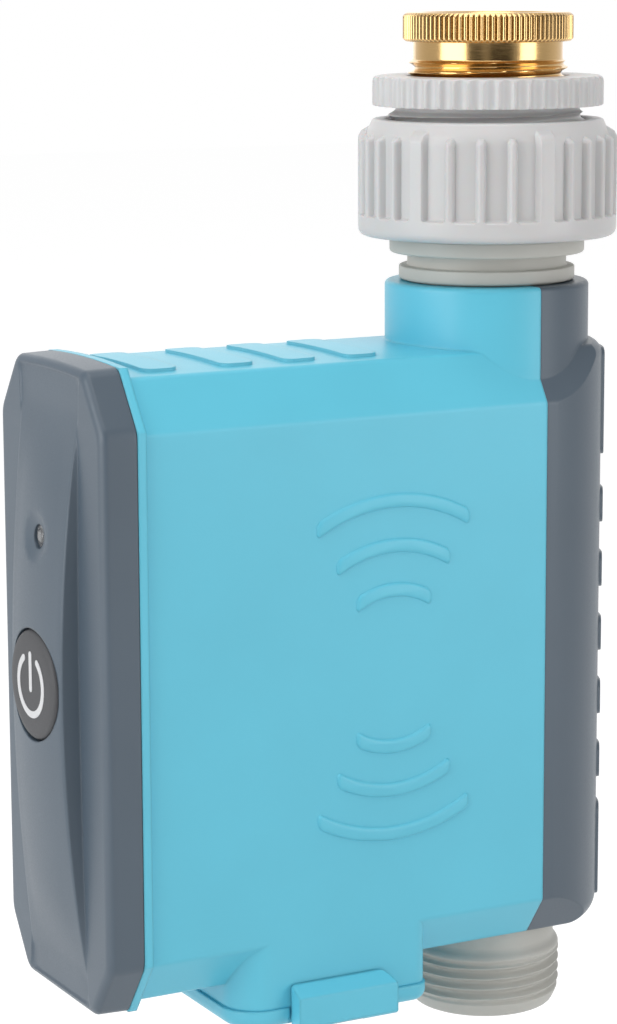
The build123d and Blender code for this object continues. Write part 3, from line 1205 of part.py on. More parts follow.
def reducer():
    """Knurled ring with the large male thread under it and a female thread through it."""
    body = drum(G1_RADIUS, STUB_BOTTOM, RING_BOTTOM + 1)
    outline = []
    for number in range(RING_FLUTES):
        for step, cut in ((-0.18, 0), (0.18, 0), (0.34, RING_FLUTE_DEPTH), (0.66, RING_FLUTE_DEPTH)):
            angle = 2 * pi * (number + step) / RING_FLUTES
            outline.append(((RING_RADIUS - cut) * cos(angle), (RING_RADIUS - cut) * sin(angle)))
    body += Pos(0, 0, RING_BOTTOM) * extrude(make_face(Polyline(*outline, close=True)), RING_HEIGHT - RING_EDGE)
    body += solid_of([(0, RING_TOP - RING_EDGE), (RING_RADIUS - RING_FLUTE_DEPTH, RING_TOP - RING_EDGE),
                      (RING_RADIUS - RING_FLUTE_DEPTH - RING_EDGE, RING_TOP), (0, RING_TOP)])
    body -= drum(REDUCER_BORE, STUB_BOTTOM - 1, RING_TOP)
    body -= drum(G34_RADIUS + RUN, REDUCER_SEAT, RING_TOP + 1)
    return body


def tap_adapter():
    """Brass adapter: male thread below, plain neck and a round head with the tap's thread inside."""
    neck_r, neck_h = ADAPTER_NECK
    head_r, head_h = ADAPTER_HEAD
    body = solid_of([(0, ADAPTER_BOTTOM), (G34_RADIUS - 0.8, ADAPTER_BOTTOM), (G34_RADIUS, ADAPTER_BOTTOM + 0.8),
                     (G34_RADIUS, ADAPTER_NECK_BOTTOM - 0.8), (neck_r, ADAPTER_NECK_BOTTOM),
                     (neck_r, ADAPTER_HEAD_BOTTOM), (head_r - 0.5, ADAPTER_HEAD_BOTTOM),
                     (head_r, ADAPTER_HEAD_BOTTOM + 0.5), (head_r, ADAPTER_TOP - 0.5), (head_r - 0.5, ADAPTER_TOP),
                     (0, ADAPTER_TOP)])
    body -= drum(ADAPTER_BORE, ADAPTER_BOTTOM - 1, ADAPTER_TOP)
    body -= drum(G12_RADIUS + TAP_RELIEF, ADAPTER_TOP - TAP_SOCKET, TAP_SEAT)
    body -= drum(G12_RADIUS, TAP_SEAT, ADAPTER_TOP + 1)
    mouth = G12_RADIUS + MOUTH_CHAMFER
    return body - solid_of([(0, ADAPTER_TOP - MOUTH_CHAMFER), (G12_RADIUS, ADAPTER_TOP - MOUTH_CHAMFER),
                            (mouth, ADAPTER_TOP), (mouth, ADAPTER_TOP + 1), (0, ADAPTER_TOP + 1)])


def motor_leads():
    """Wires from the motor's terminals to the board."""
    x, z = MOTOR_AXIS
    end = FRONT_PLATE_FRONT - MOTOR_LENGTH - TERMINAL_LENGTH
    return Part() + [rod(WIRE_RADIUS, x + side * TERMINAL_OFFSET, z, BOARD_BACK, end) for side in (-1, 1)]


def battery_leads():
    """Wires from the contact tabs to the board."""
    z = BOX_CEILING - CONTACT_THICKNESS / 2
    return Part() + [rod(WIRE_RADIUS, x, z, BOARD_BACK, BOX_FRONT - TAB_REACH)
                     for x in (-CELL_SPACING / 2, CELL_SPACING / 2)]


def pieces():
    """Every piece of the timer by its node's name."""
    made = {
        "front_housing": front_housing(),
        "rear_housing": rear_housing(),
        "front_cover": front_cover(),
        "cover_gasket": cover_gasket(),
        "power_button": power_button(),
        "button_seal": button_seal(),
        "led_light_pipe": led_light_pipe(),
        "status_led": status_led(),
        "circuit_board": circuit_board(),
        "board_screws": board_screws(),
        "radio_module": radio_module(),
        "board_capacitor": board_capacitor(),
        "tact_switch": tact_switch(),
        "switch_plunger": switch_plunger(),
        "battery_cover": battery_cover(),
        "battery_gasket": battery_gasket(),
        "battery_latch": battery_latch(),
        "latch_pin": latch_pin(),
        "hinge_pin": hinge_pin(),
        "upper_contacts": upper_contacts(),
        "cover_contacts": cover_contacts(),
        "valve_body": valve_body(),
        "valve_bonnet": valve_bonnet(),
        "bonnet_seal": bonnet_seal(),
        "seat_lower": seat(-1),
        "seat_upper": seat(1),
        "valve_ball": valve_ball(),
        "valve_stem": valve_stem(),
        "stem_seals": stem_seals(),
        "output_gear": output_gear(),
        "gear_magnet": gear_magnet(),
        "position_sensor": position_sensor(),
        "compound_gear": compound_gear(),
        "compound_shaft": compound_shaft(),
        "motor_pinion": motor_pinion(),
        "gear_motor": gear_motor(),
        "gearbox_front_plate": gearbox_front_plate(),
        "gearbox_rear_plate": gearbox_rear_plate(),
        "gearbox_screws": gearbox_screws(),
        "case_screws": case_screws(),
        "case_seal": case_seal(),
        "motor_leads": motor_leads(),
        "battery_leads": battery_leads(),
        "inlet_sleeve": inlet_sleeve(),
        "inlet_filter": inlet_filter(),
        "nut_washer": washer(SLEEVE_FLANGE_RADIUS, REDUCER_BORE, SLEEVE_TOP, WASHER_THICKNESS),
        "swivel_nut": swivel_nut(),
        "reducer": reducer(),
        "adapter_washer": washer(G34_RADIUS - 0.6, REDUCER_BORE, REDUCER_SEAT, ADAPTER_WASHER),
        "tap_adapter": tap_adapter(),
        "tap_washer": washer(G12_RADIUS - 0.4, ADAPTER_BORE, ADAPTER_TOP - TAP_SOCKET, TAP_WASHER),
    }
    for number, (x, y) in enumerate(cell_places(), 1):
        made["battery_cell_%d" % number] = battery_cell(x, y)
    return made


def main():
    os.makedirs("parts", exist_ok=True)
    for name, shape in pieces().items():
        export_step(Pos(0, 0, -TAP_SEAT) * shape, "parts/%s.step" % name)


if __name__ == "__main__":
    main()
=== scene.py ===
from math import cos, hypot, pi, radians, sin, sqrt, tau

import bpy
from mathutils import Matrix, Vector, geometry


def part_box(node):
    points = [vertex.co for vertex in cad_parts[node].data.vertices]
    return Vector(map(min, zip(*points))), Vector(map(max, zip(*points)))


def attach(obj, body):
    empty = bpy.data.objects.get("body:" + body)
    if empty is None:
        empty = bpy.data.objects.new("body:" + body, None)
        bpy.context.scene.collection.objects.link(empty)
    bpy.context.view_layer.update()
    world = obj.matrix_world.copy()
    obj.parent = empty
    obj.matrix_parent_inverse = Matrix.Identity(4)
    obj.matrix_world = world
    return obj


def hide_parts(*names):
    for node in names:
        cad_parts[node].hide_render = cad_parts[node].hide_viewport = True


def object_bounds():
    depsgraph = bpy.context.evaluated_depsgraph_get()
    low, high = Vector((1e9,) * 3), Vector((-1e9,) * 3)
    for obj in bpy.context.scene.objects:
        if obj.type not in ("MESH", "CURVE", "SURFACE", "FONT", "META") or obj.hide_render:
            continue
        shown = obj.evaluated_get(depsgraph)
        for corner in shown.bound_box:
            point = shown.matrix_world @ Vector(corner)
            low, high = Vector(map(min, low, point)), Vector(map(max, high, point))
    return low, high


# Battery-powered tap timer. Sizes are in millimetres, heights are above the case's underside, and angles
# about the pipe are counted from +X towards +Y.
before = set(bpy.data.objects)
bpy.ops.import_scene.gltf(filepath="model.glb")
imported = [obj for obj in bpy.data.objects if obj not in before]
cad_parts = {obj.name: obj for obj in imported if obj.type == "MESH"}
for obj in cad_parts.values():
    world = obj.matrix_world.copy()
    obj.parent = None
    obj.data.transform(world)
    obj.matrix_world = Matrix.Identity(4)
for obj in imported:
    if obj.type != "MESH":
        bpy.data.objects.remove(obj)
cad_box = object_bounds()

MM = 0.001
# Height of the frame's origin, which is the tap's seat, above the case's underside
SEAT = 144.5


def heights(node):
    """Lowest and highest point of a CAD node, in millimetres above the case's underside."""
    return [corner[2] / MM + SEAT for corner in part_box(node)]


# Water path, from the outlet up to the tap
PIPE_BOTTOM, PIPE_TOP = heights("valve_body")
PIPE_RADIUS = 12.0
PIPE_BORE = 8.0
PIPE_MOUTH = (9.6, 9.0)
# Beyond its OUTSIDE radius a piece gets its thread, ribs or flutes, and within it the bore stays plain
PIPE_OUTSIDE = 10.5
CHAMBER_OUTER = 13.2
CHAMBER_BORE = 10.0
CHAMBER_SPAN = (69.2, 86.8)
SEAT_BORE = 6.2
PLUG_BORE = 11.65
STEM_BOSS = (6.5, 3.45)
STEM_BOSS_SPAN = (-19.6, -9.0)
STEM_HEIGHT = 78.0
OUTLET_CREST = 13.2
OUTLET_THREAD = (-13.6, -4.9)
OUTLET_LEAD = (1.2, 2.7)
OUTLET_CREST_SHARE = 0.12
THREAD_CREST_SHARE = 0.1

BONNET_BOTTOM, BONNET_TOP = heights("valve_bonnet")
BONNET_PLUG = 11.55
BONNET_RADIUS = 13.28
BONNET_LOW_FLANGE = (14.67, 110.1, 112.4)
BONNET_HIGH_FLANGE = (16.25, 114.6)
BONNET_BORE = 7.0
BONNET_SOCKET = (12.05, 13.1)

NUT_BOTTOM, NUT_TOP = heights("swivel_nut")
NUT_CREST = 21.5
NUT_VALLEY = 20.25
NUT_TOP_RADIUS = 19.1
NUT_SHOULDER = 2.6
NUT_BAND = 3.5
NUT_LIP = 3.3
NUT_LIP_BORE = 12.08
NUT_BORE = 16.67
NUT_TURN = -4.3
NUT_OUTSIDE = 18.9
NUT_TOP_SLOPE = 0.56
NUT_TOP_STEP = 0.75
NUT_LUGS = 6
LUG_FACE = 2.3
LUG_FOOT = 3.7
LUG_TOP = 1.7
LUG_SLOPE = 0.35
RIB_WIDTH = 1.7
RIB_TOP = 2.6
RIB_STEPS = ((3, 14.2), (4, 11.4))

STUB_BOTTOM, RING_TOP = heights("reducer")
G1_CREST = 16.6
G1_DEPTH = 1.35
G1_PITCH = 2.309
RING_HEIGHT = 4.9
RING_RADIUS = 19.15
RING_FLUTES = 48
RING_FLUTE_DEPTH = 0.55
RING_FLUTE_SHAPE = (0.86, 2.4)
RING_TURN = -3.2
STUB_OUTSIDE = 13.8
RING_OUTSIDE = 18.0
REDUCER_BORE = 9.0
REDUCER_FLOOR = 3.8
REDUCER_SOCKET = 13.27

ADAPTER_BOTTOM, ADAPTER_TOP = heights("tap_adapter")
G34_CREST = 13.2
G34_DEPTH = 1.1
G34_PITCH = 1.814
ADAPTER_THREAD = 14.3
NECK_RADIUS = 12.37
NECK_HEIGHT = 2.95
HEAD_RADIUS = 14.08
HEAD_KNURLS = 96
KNURL_DEPTH = 0.4
KNURL_FLAT = 0.3
ADAPTER_BORE = 8.2
TAP_SOCKET = (10.48, 11.5)
TAP_RELIEF = 10.88
G12_DEPTH = 0.95
BRASS_OUTSIDE = 11.5
TAP_THREAD_FLOOR = 2.0

# How finely the turned pieces are drawn: columns round them, and the longest run along a detailed wall
THREAD_COLUMNS = 256
PLAIN_COLUMNS = 192
BOSS_COLUMNS = 48
NUT_COLUMNS = 900
FLUTE_COLUMNS = 12
KNURL_COLUMNS = 10
BUTTON_COLUMNS = 144
LENS_COLUMNS = 64
OUTLET_RUN = 0.14
NUT_RUN = 0.45
STUB_RUN = 0.17
RING_RUN = 0.4
BRASS_RUN = 0.13
HEAD_RUN = 0.3
SLEEVE_RUN = 0.15

# Case, front panel and button
CASE_SIDE = 19.3
ARC_CENTRE = (-28.8, 50.2)
ARC_RADII = (28.6, 21.3, 14.1)
ARC_HALF_ANGLE = 29.5
ARC_WIDTH = 2.35
ARC_RISE = 0.42
ARC_CORNER = 0.9
ARC_CORNER_STEPS = 6
ARC_STEP = 0.8
ARC_PROFILE = ((0.0, -0.1), (0.0, 0.0), (0.18, ARC_RISE * 0.72), (0.34, ARC_RISE * 0.93), (0.5, ARC_RISE))
BUTTON_HEIGHT = 49.8
BUTTON_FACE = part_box("power_button")[0][1] / MM
BUTTON_RADIUS = 8.9
BUTTON_WALL = 1.4
BUTTON_FLANGE = (11.2, 77.4, 1.0)
BUTTON_STEM = (2.2, 75.7)
BUTTON_FLAT = 5.5
AXIS_GAP = 0.02
SIGN_RADIUS = 4.75
SIGN_STROKE = 1.1
SIGN_GAP = 33.0
SIGN_BAR = (-0.6, 4.9)
SIGN_RISE = 0.08
SIGN_ROOT = 0.02
DISH_HEIGHT = 73.5
DISH_RADIUS = 4.3
DISH_DEPTH = 1.0
DISH_BEND = 1.3
DISH_RINGS = (2.5, 3.1, 3.7, DISH_RADIUS)
DISH_POINTS = 36
LENS_RADIUS = 1.9
LENS_END = (1.25, 0.9)
LENS_GAP = 0.05
CASE_LOW_CUT = (5.1, 7.1)
BOSS_ZONE = (-4.2, -0.3)
BOSS_TOP = 8.0
COVER_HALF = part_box("front_cover")[1][0] / MM
COVER_LOW, COVER_HIGH = -1.9, 101.1
COVER_CUT = (6.6, 9.2)
COVER_CUT_SHIFT = (0.487, 0.679)
CROWN_STEPS = 5
COVER_CROWN = 0.45
COVER_CORNER = 1.3
COVER_FRONT = 80.0
COVER_BASE = 74.0
COVER_ROUND = 1.1
ROUND_STEPS = 6
COVER_GAP = 0.14
COVER_DRAFT = 0.4
COVER_LIP = 0.15
PLATE_INNER = 77.5
WALL_INNER = 2.45
SPIGOT_WALLS = (2.85, 4.0)
SPIGOT_STEP = 1.5
COVER_ROWS = 72
COVER_COLUMNS = (-8.4, -7, -5.5, -4, -2.5, -1, 0.5, 2, 3.5, 5, 6.5, 8)
SPIGOT_END = -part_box("front_cover")[1][1] / MM
PANEL_MIDDLE = 48.5
PANEL_HALF_HEIGHT = 43.5
PANEL_RISE = 3.1
PANEL_CROWN = 0.72
PANEL_FOOT = (10.1, 1.5)
PANEL_FOOT_SPAN = 50.0
PANEL_WALL = 0.8
PANEL_FADE = 1.5
PANEL_DIP = -0.3
PANEL_STEEP = (0.42, 0.86)
PANEL_SOFT_FROM = 0.3
PANEL_LINES = (0.0, 0.17, 0.34, 0.56, PANEL_WALL)
PANEL_HOLE = 9.05
PANEL_HOLE_POINTS = 96


def srgb(code):
    """Linear colour of an sRGB hex value."""
    parts = [int(code[place:place + 2], 16) / 255 for place in (1, 3, 5)]
    return [part / 12.92 if part <= 0.04045 else ((part + 0.055) / 1.055) ** 2.4 for part in parts] + [1.0]


def add(tree, kind, inputs=None, **settings):
    """Adds a node with its settings. Each input takes a value or another node's output."""
    node = tree.nodes.new("ShaderNode" + kind)
    for name, value in settings.items():
        setattr(node, name, value)
    for name, value in (inputs or {}).items():
        if isinstance(value, bpy.types.NodeSocket):
            tree.links.new(value, node.inputs[name])
        else:
            node.inputs[name].default_value = value
    return node


def blank(name):
    """New material with an empty tree, and its place coordinates."""
    material = bpy.data.materials.new(name)
    material.use_nodes = True
    tree = material.node_tree
    tree.nodes.clear()
    return material, tree, add(tree, "TexCoord").outputs["Object"]


def finished(material, tree, shader):
    """Joins the shader to the material's output."""
    output = add(tree, "OutputMaterial")
    tree.links.new(shader.outputs[0], output.inputs["Surface"])
    return material


# Size of the clouds in plastic and metal, the part of the noise in use, and a tool line's length to width
PLASTIC_CLOUD = 22
METAL_CLOUD = 6
NOISE_LOW, NOISE_HIGH = 0.3, 0.7
LINE_STRETCH = 24


def moulded(name, colour, roughness, grain, relief, clouds=0.03, edge=0.0, **constants):
    """Moulded plastic or rubber: eroded grain of a size in millimetres, and faint clouds from the flow.

    The edges of its parts are worn round to a radius in millimetres.
    """
    material, tree, place = blank(name)
    pits = add(tree, "TexNoise", {"Vector": place, "Scale": 1 / (grain * MM), "Detail": 3.0}).outputs["Fac"]
    flow = add(tree, "TexNoise", {"Vector": place, "Scale": 1 / (PLASTIC_CLOUD * MM), "Detail": 2.0})
    shade = add(tree, "MapRange", {"Value": flow.outputs["Fac"], "From Min": NOISE_LOW,
                                   "From Max": NOISE_HIGH, "To Min": 1 - clouds, "To Max": 1 + clouds})
    paint = add(tree, "HueSaturation", {"Color": srgb(colour), "Value": shade.outputs["Result"]})
    gloss = add(tree, "MapRange", {"Value": pits, "From Min": NOISE_LOW, "From Max": NOISE_HIGH,
                                   "To Min": roughness - 0.04, "To Max": roughness + 0.05})
    skin = add(tree, "Bump", {"Height": pits, "Strength": 1.0, "Distance": relief * MM})
    if edge:
        round_edge = add(tree, "Bevel", {"Radius": edge * MM}, samples=6)
        tree.links.new(round_edge.outputs["Normal"], skin.inputs["Normal"])
    inputs = {"Base Color": paint.outputs["Color"], "Roughness": gloss.outputs["Result"],
              "Normal": skin.outputs["Normal"]}
    inputs.update(constants)
    return finished(material, tree, add(tree, "BsdfPrincipled", inputs))


def metal(name, colour, roughness, line, relief, clouds=0.04):
    """Metal with fine tool or rolling lines round it, a given spacing in millimetres apart up its height."""
    material, tree, place = blank(name)
    stretched = add(tree, "Mapping", {"Vector": place, "Scale": (1, 1, LINE_STRETCH)}).outputs["Vector"]
    lines = add(tree, "TexNoise", {"Vector": stretched, "Scale": 1 / (LINE_STRETCH * line * MM),
                                   "Detail": 2.0}).outputs["Fac"]
    wide = add(tree, "TexNoise", {"Vector": place, "Scale": 1 / (METAL_CLOUD * MM), "Detail": 2.0})
    shade = add(tree, "MapRange", {"Value": wide.outputs["Fac"], "To Min": 1 - clouds, "To Max": 1 + clouds})
    paint = add(tree, "HueSaturation", {"Color": srgb(colour), "Value": shade.outputs["Result"]})
    gloss = add(tree, "MapRange", {"Value": lines, "From Min": NOISE_LOW, "From Max": NOISE_HIGH,
                                   "To Min": roughness * 0.8, "To Max": roughness * 1.25})
    skin = add(tree, "Bump", {"Height": lines, "Strength": 1.0, "Distance": relief * MM})
    return finished(material, tree, add(tree, "BsdfPrincipled", {
        "Base Color": paint.outputs["Color"], "Metallic": 1.0, "Roughness": gloss.outputs["Result"],
        "Normal": skin.outputs["Normal"]}))


# ABS from a finely eroded tool: even satin, soft highlights along the edges
blue_abs = moulded("blue_abs_moulded", "#5DBED6", 0.36, 0.22, 0.0035, 0.02, 0.7)
# The same resin in slate: a little flatter, because the tool's grain is deeper
slate_abs = moulded("slate_abs_moulded", "#4C5965", 0.38, 0.25, 0.005, 0.03, 0.4)
# Acetal copolymer, as tap connectors are made of: light grey, waxy, with soft shadows
grey_acetal = moulded("light_grey_acetal_moulded", "#C3C2C2", 0.38, 0.5, 0.004, 0.02,
                      **{"Subsurface Weight": 0.15, "Subsurface Scale": 0.0008})
# Glass-filled nylon: warm grey, duller, and mottled by the fibres near its skin
grey_nylon = moulded("warm_grey_filled_nylon", "#B8B7B1", 0.5, 0.35, 0.007, 0.05)
# Silicone rubber button: charcoal and matte, with a fine but deep eroded grain that glitters a little
charcoal_silicone = moulded("charcoal_silicone_moulded", "#434447", 0.55, 0.16, 0.02, 0.06)
# Pad-printed ink of the sign: pale grey and flat
sign_ink = moulded("white_sign_ink", "#CDCED0", 0.5, 0.12, 0.002, 0.02)
# EPDM rubber of seals and washers: black and matte, with a talc bloom
epdm = moulded("black_epdm_rubber", "#232324", 0.62, 0.2, 0.006, 0.12)
# Acetal gears and seats: cream white and slippery
white_acetal = moulded("white_acetal_moulded", "#E2E0D8", 0.35, 0.4, 0.003, 0.02)
# Nylon plates and small housings: black with fine grain
black_nylon = moulded("black_nylon_moulded", "#2B2B2D", 0.48, 0.3, 0.006, 0.05)
# Silicone cable: dark red and matte
wire_silicone = moulded("red_silicone_wire", "#A23A34", 0.5, 0.3, 0.003, 0.05)
# Shrink sleeve of the cells: thin glossy film in dark grey
cell_sleeve = moulded("dark_cell_shrink_sleeve", "#4A4E54", 0.22, 1.2, 0.004, 0.03)
# Solder mask over woven glass: green and glossy
solder_mask = moulded("green_solder_mask", "#2C6B45", 0.28, 0.6, 0.008, 0.08)
# Brass bar, turned and polished: bright gold with faint rings from the tool
brass = metal("polished_turned_brass", "#DEB87E", 0.17, 0.12, 0.0004, 0.03)
# Zinc-plated steel: cool grey with fine draw lines
zinc_steel = metal("zinc_plated_steel", "#C6C8CA", 0.3, 0.15, 0.001)
# Nickel-plated spring strip: a warmer, softer shine
nickel = metal("nickel_plated_strip", "#CFC9BE", 0.25, 0.2, 0.001)
# Hard chrome on the ball: mirror finish
chrome = metal("polished_chrome", "#DCDDDE", 0.06, 0.1, 0.0002, 0.01)
# Drawn aluminium can of the capacitor: satin and pale
aluminium = metal("drawn_aluminium", "#D9DADB", 0.32, 0.2, 0.001)


def clear_acrylic():
    """Moulded acrylic light pipe: clear with a smoky tint and a polished end."""
    material, tree, place = blank("smoked_acrylic_lens")
    swirl = add(tree, "TexNoise", {"Vector": place, "Scale": 1 / (1.5 * MM), "Detail": 2.0}).outputs["Fac"]
    paint = add(tree, "MixRGB", {"Fac": swirl, "Color1": srgb("#A9ACB0"), "Color2": srgb("#C4C6C8")})
    skin = add(tree, "Bump", {"Height": swirl, "Strength": 1.0, "Distance": 0.01 * MM})
    return finished(material, tree, add(tree, "BsdfPrincipled", {
        "Base Color": paint.outputs["Color"], "Roughness": 0.08, "IOR": 1.49, "Transmission Weight": 0.7,
        "Normal": skin.outputs["Normal"]}))


def filter_mesh():
    """Woven nylon of the inlet filter: square holes 0.9 mm apart between pale threads."""
    material, tree, place = blank("woven_nylon_filter")
    spacing = 0.9 * MM
    weave = []
    for direction in ("X", "Y"):
        bands = add(tree, "TexWave", {"Vector": place, "Scale": 1 / (20 * spacing / tau)},
                    bands_direction=direction)
        weave.append(bands.outputs["Fac"])
    thread = add(tree, "Math", {0: weave[0], 1: weave[1]}, operation="MAXIMUM").outputs[0]
    paint = add(tree, "MixRGB", {"Fac": thread, "Color1": srgb("#6F7170"), "Color2": srgb("#DADBD6")})
    skin = add(tree, "Bump", {"Height": thread, "Strength": 1.0, "Distance": 0.1 * MM})
    return finished(material, tree, add(tree, "BsdfPrincipled", {
        "Base Color": paint.outputs["Color"], "Roughness": 0.5, "Normal": skin.outputs["Normal"]}))


acrylic = clear_acrylic()
filter_nylon = filter_mesh()

FINISHES = {
    "front_housing": blue_abs, "rear_housing": slate_abs, "front_cover": slate_abs, "cover_gasket": epdm,
    "button_seal": epdm, "status_led": white_acetal, "circuit_board": solder_mask, "board_screws": zinc_steel,
    "radio_module": nickel, "board_capacitor": aluminium, "tact_switch": black_nylon,
    "switch_plunger": white_acetal, "battery_cover": blue_abs, "battery_gasket": epdm,
    "battery_latch": blue_abs, "latch_pin": zinc_steel, "hinge_pin": zinc_steel,
    "upper_contacts": nickel, "cover_contacts": nickel, "bonnet_seal": epdm,
    "seat_lower": white_acetal, "seat_upper": white_acetal, "valve_ball": chrome,
    "valve_stem": brass, "stem_seals": epdm, "output_gear": white_acetal, "gear_magnet": nickel,
    "position_sensor": black_nylon, "compound_gear": white_acetal, "compound_shaft": zinc_steel,
    "motor_pinion": brass, "gear_motor": zinc_steel, "gearbox_front_plate": black_nylon,
    "gearbox_rear_plate": black_nylon, "gearbox_screws": zinc_steel, "case_screws": zinc_steel,
    "case_seal": epdm, "motor_leads": wire_silicone, "battery_leads": wire_silicone,
    "inlet_sleeve": grey_nylon, "inlet_filter": filter_nylon, "nut_washer": epdm, "adapter_washer": epdm,
    "tap_washer": epdm, "battery_cell_1": cell_sleeve, "battery_cell_2": cell_sleeve,
    "battery_cell_3": cell_sleeve, "battery_cell_4": cell_sleeve, "led_light_pipe": acrylic,
    "power_button": charcoal_silicone, "valve_body": grey_nylon, "valve_bonnet": grey_nylon,
    "swivel_nut": grey_acetal, "reducer": grey_acetal, "tap_adapter": brass,
}


def dress_cad_nodes():
    """Gives each CAD node its material."""
    for node, finish in FINISHES.items():
        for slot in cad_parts[node].material_slots:
            slot.material = finish


def piece(name, points, faces, body, finish, replaced=(), place=None, sharp=35, weighted=False):
    """Mesh from points in millimetres, smooth except at sharp edges, that rides on its body."""
    if place:
        points = [place @ Vector(point) for point in points]
    mesh = bpy.data.meshes.new(name)
    mesh.from_pydata([(x * MM, y * MM, (z - SEAT) * MM) for x, y, z in points], [], faces)
    mesh.validate()
    mesh.shade_smooth()
    mesh.set_sharp_from_angle(angle=radians(sharp))
    made = bpy.data.objects.new(name, mesh)
    bpy.context.scene.collection.objects.link(made)
    mesh.materials.append(finish)
    if weighted:
        made.modifiers.new("flat_faces_shade_flat", "WEIGHTED_NORMAL").keep_sharp = True
    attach(made, body)
    if replaced:
        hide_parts(*replaced)


def softened(corners, steps=4):
    """Closed outline from (radius, height, rounding) corners, with a curve at each rounded corner."""
    outline = []
    for number, (radius, height, rounding) in enumerate(corners):
        here = Vector((radius, height))
        if not rounding:
            outline.append((radius, height))
            continue
        before = Vector(corners[number - 1][:2]) - here
        after = Vector(corners[(number + 1) % len(corners)][:2]) - here
        start = here + before.normalized() * min(rounding, before.length / 2)
        end = here + after.normalized() * min(rounding, after.length / 2)
        for step in range(steps + 1):
            share = step / steps
            outline.append(tuple(start.lerp(here, share).lerp(here.lerp(end, share), share)))
    return outline


def divided(outline, longest, low, high, beyond=0.0):
    """Splits the outline's runs between two heights, outside a radius, so that none is longer than given."""
    made = []
    for number, start in enumerate(outline):
        end = outline[(number + 1) % len(outline)]
        made.append(start)
        inside = all(low - 0.01 <= height <= high + 0.01 and radius >= beyond
                     for radius, height in (start, end))
        count = int(hypot(end[0] - start[0], end[1] - start[1]) / longest) if inside else 0
        for step in range(1, count + 1):
            share = step / (count + 1)
            made.append(tuple(start[axis] + (end[axis] - start[axis]) * share for axis in (0, 1)))
    return made


def turned(outline, columns, shape=None):
    """Surface of an outline turned about the upright axis. It goes up its outside and down its bore."""
    points = []
    for column in range(columns):
        turn = tau * column / columns
        for radius, height in outline:
            reach = shape(turn, radius, height) if shape else radius
            points.append((reach * cos(turn), reach * sin(turn), height))
    rows = len(outline)
    faces = []
    for column in range(columns):
        here = column * rows
        there = (column + 1) % columns * rows
        for row in range(rows):
            above = (row + 1) % rows
            faces.append((here + row, there + row, there + above, here + above))
    return points, faces


def join(*parts):
    """One list of points and faces from several."""
    points = []
    faces = []
    for more_points, more_faces in parts:
        faces += [[corner + len(points) for corner in face] for face in more_faces]
        points += more_points
    return points, faces


def blend(share):
    """Smooth step from 0 to 1."""
    share = min(max(share, 0.0), 1.0)
    return share * share * (3 - 2 * share)


def thread_valley(turn, height, span, pitch, crest):
    """Depth share of a right-handed thread: 0 on its crest, 1 in its valley, fading out at both ends."""
    low, high = span
    along = ((height - low) / pitch - turn / tau) % 1.0
    across = abs(2 * along - 1)
    valley = 1 - min(across / (1 - crest), 1.0) ** 2
    return valley * blend((height - low) / pitch) * blend((high - height) / pitch)


def trimmed_case():
    """Blue case with its screw bosses trimmed flush with the bevels along its underside."""
    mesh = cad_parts["front_housing"].data
    cut_in, cut_up = CASE_LOW_CUT
    points = []
    for vertex in mesh.vertices:
        x, y, z = vertex.co.x / MM, vertex.co.y / MM, vertex.co.z / MM + SEAT
        reach = CASE_SIDE - cut_in * max(1 - z / cut_up, 0)
        if BOSS_ZONE[0] < y < BOSS_ZONE[1] and 0 < z < BOSS_TOP and abs(x) > reach:
            x = reach if x > 0 else -reach
        points.append((x, y, z))
    faces = [list(face.vertices) for face in mesh.polygons]
    piece("blue_case", points, faces, "housing", blue_abs, ["front_housing"], sharp=25,
          weighted=True)


def cover_outline(inset):
    """Eight-sided outline of the cover, a distance inside its rim, as (x, z) points in a fixed number."""
    slope_x, slope_z = [shift * inset for shift in COVER_CUT_SHIFT]
    half = COVER_HALF - inset
    corner_x = half - COVER_CUT[0] + slope_x
    low, high = COVER_LOW + inset, COVER_HIGH - inset
    cut = COVER_CUT[1] - slope_z
    right = [(half, low + cut, COVER_CORNER), (half, high - cut, COVER_CORNER),
             (corner_x, high, COVER_CORNER)]
    places = [corner_x * step / (CROWN_STEPS + 1.5) for step in range(-CROWN_STEPS, CROWN_STEPS + 1)]
    top = [(-x, high + COVER_CROWN * (1 - (x / corner_x) ** 2), 0) for x in places]
    left = [(-x, z, bend) for x, z, bend in right[::-1]]
    bottom = [(-corner_x, low, COVER_CORNER)] + [(x, low, 0) for x in places]
    return softened(right + top + left + bottom + [(corner_x, low, COVER_CORNER)], steps=5)


def panel_foot(height):
    """Half width of the bulged panel at its foot, which is wider towards its ends."""
    half, spread = PANEL_FOOT
    return half + spread * ((height - PANEL_MIDDLE) / PANEL_FOOT_SPAN) ** 2


def cover_face(x, height):
    """How far the cover's front stands out at a place: flat, with the bulged panel and the dish in it."""
    share = (panel_foot(height) - abs(x)) / PANEL_WALL
    if share <= 0:
        return COVER_FRONT
    rise = PANEL_RISE * (1 - ((height - PANEL_MIDDLE) / PANEL_HALF_HEIGHT) ** 2)
    rise = max(rise, PANEL_DIP)
    crown = PANEL_CROWN * (1 - min(abs(x) / PANEL_HOLE, 1) ** 2) * blend(rise / PANEL_FADE)
    width, part = PANEL_STEEP
    soft = blend((share - PANEL_SOFT_FROM) / (1 - PANEL_SOFT_FROM))
    wall = min(share / width, 1) * part + (1 - part) * soft
    face = COVER_FRONT + (rise + crown) * min(wall, 1)
    across = hypot(x, height - DISH_HEIGHT) / DISH_RADIUS
    if across < 1:
        face -= DISH_DEPTH * (1 - across ** 2) ** DISH_BEND
    return face


def circle_points(radius, height, count):
    """Points of a circle on the cover's front, round the middle line."""
    turns = [tau * step / count for step in range(count)]
    return [(radius * cos(turn), height + radius * sin(turn)) for turn in turns]


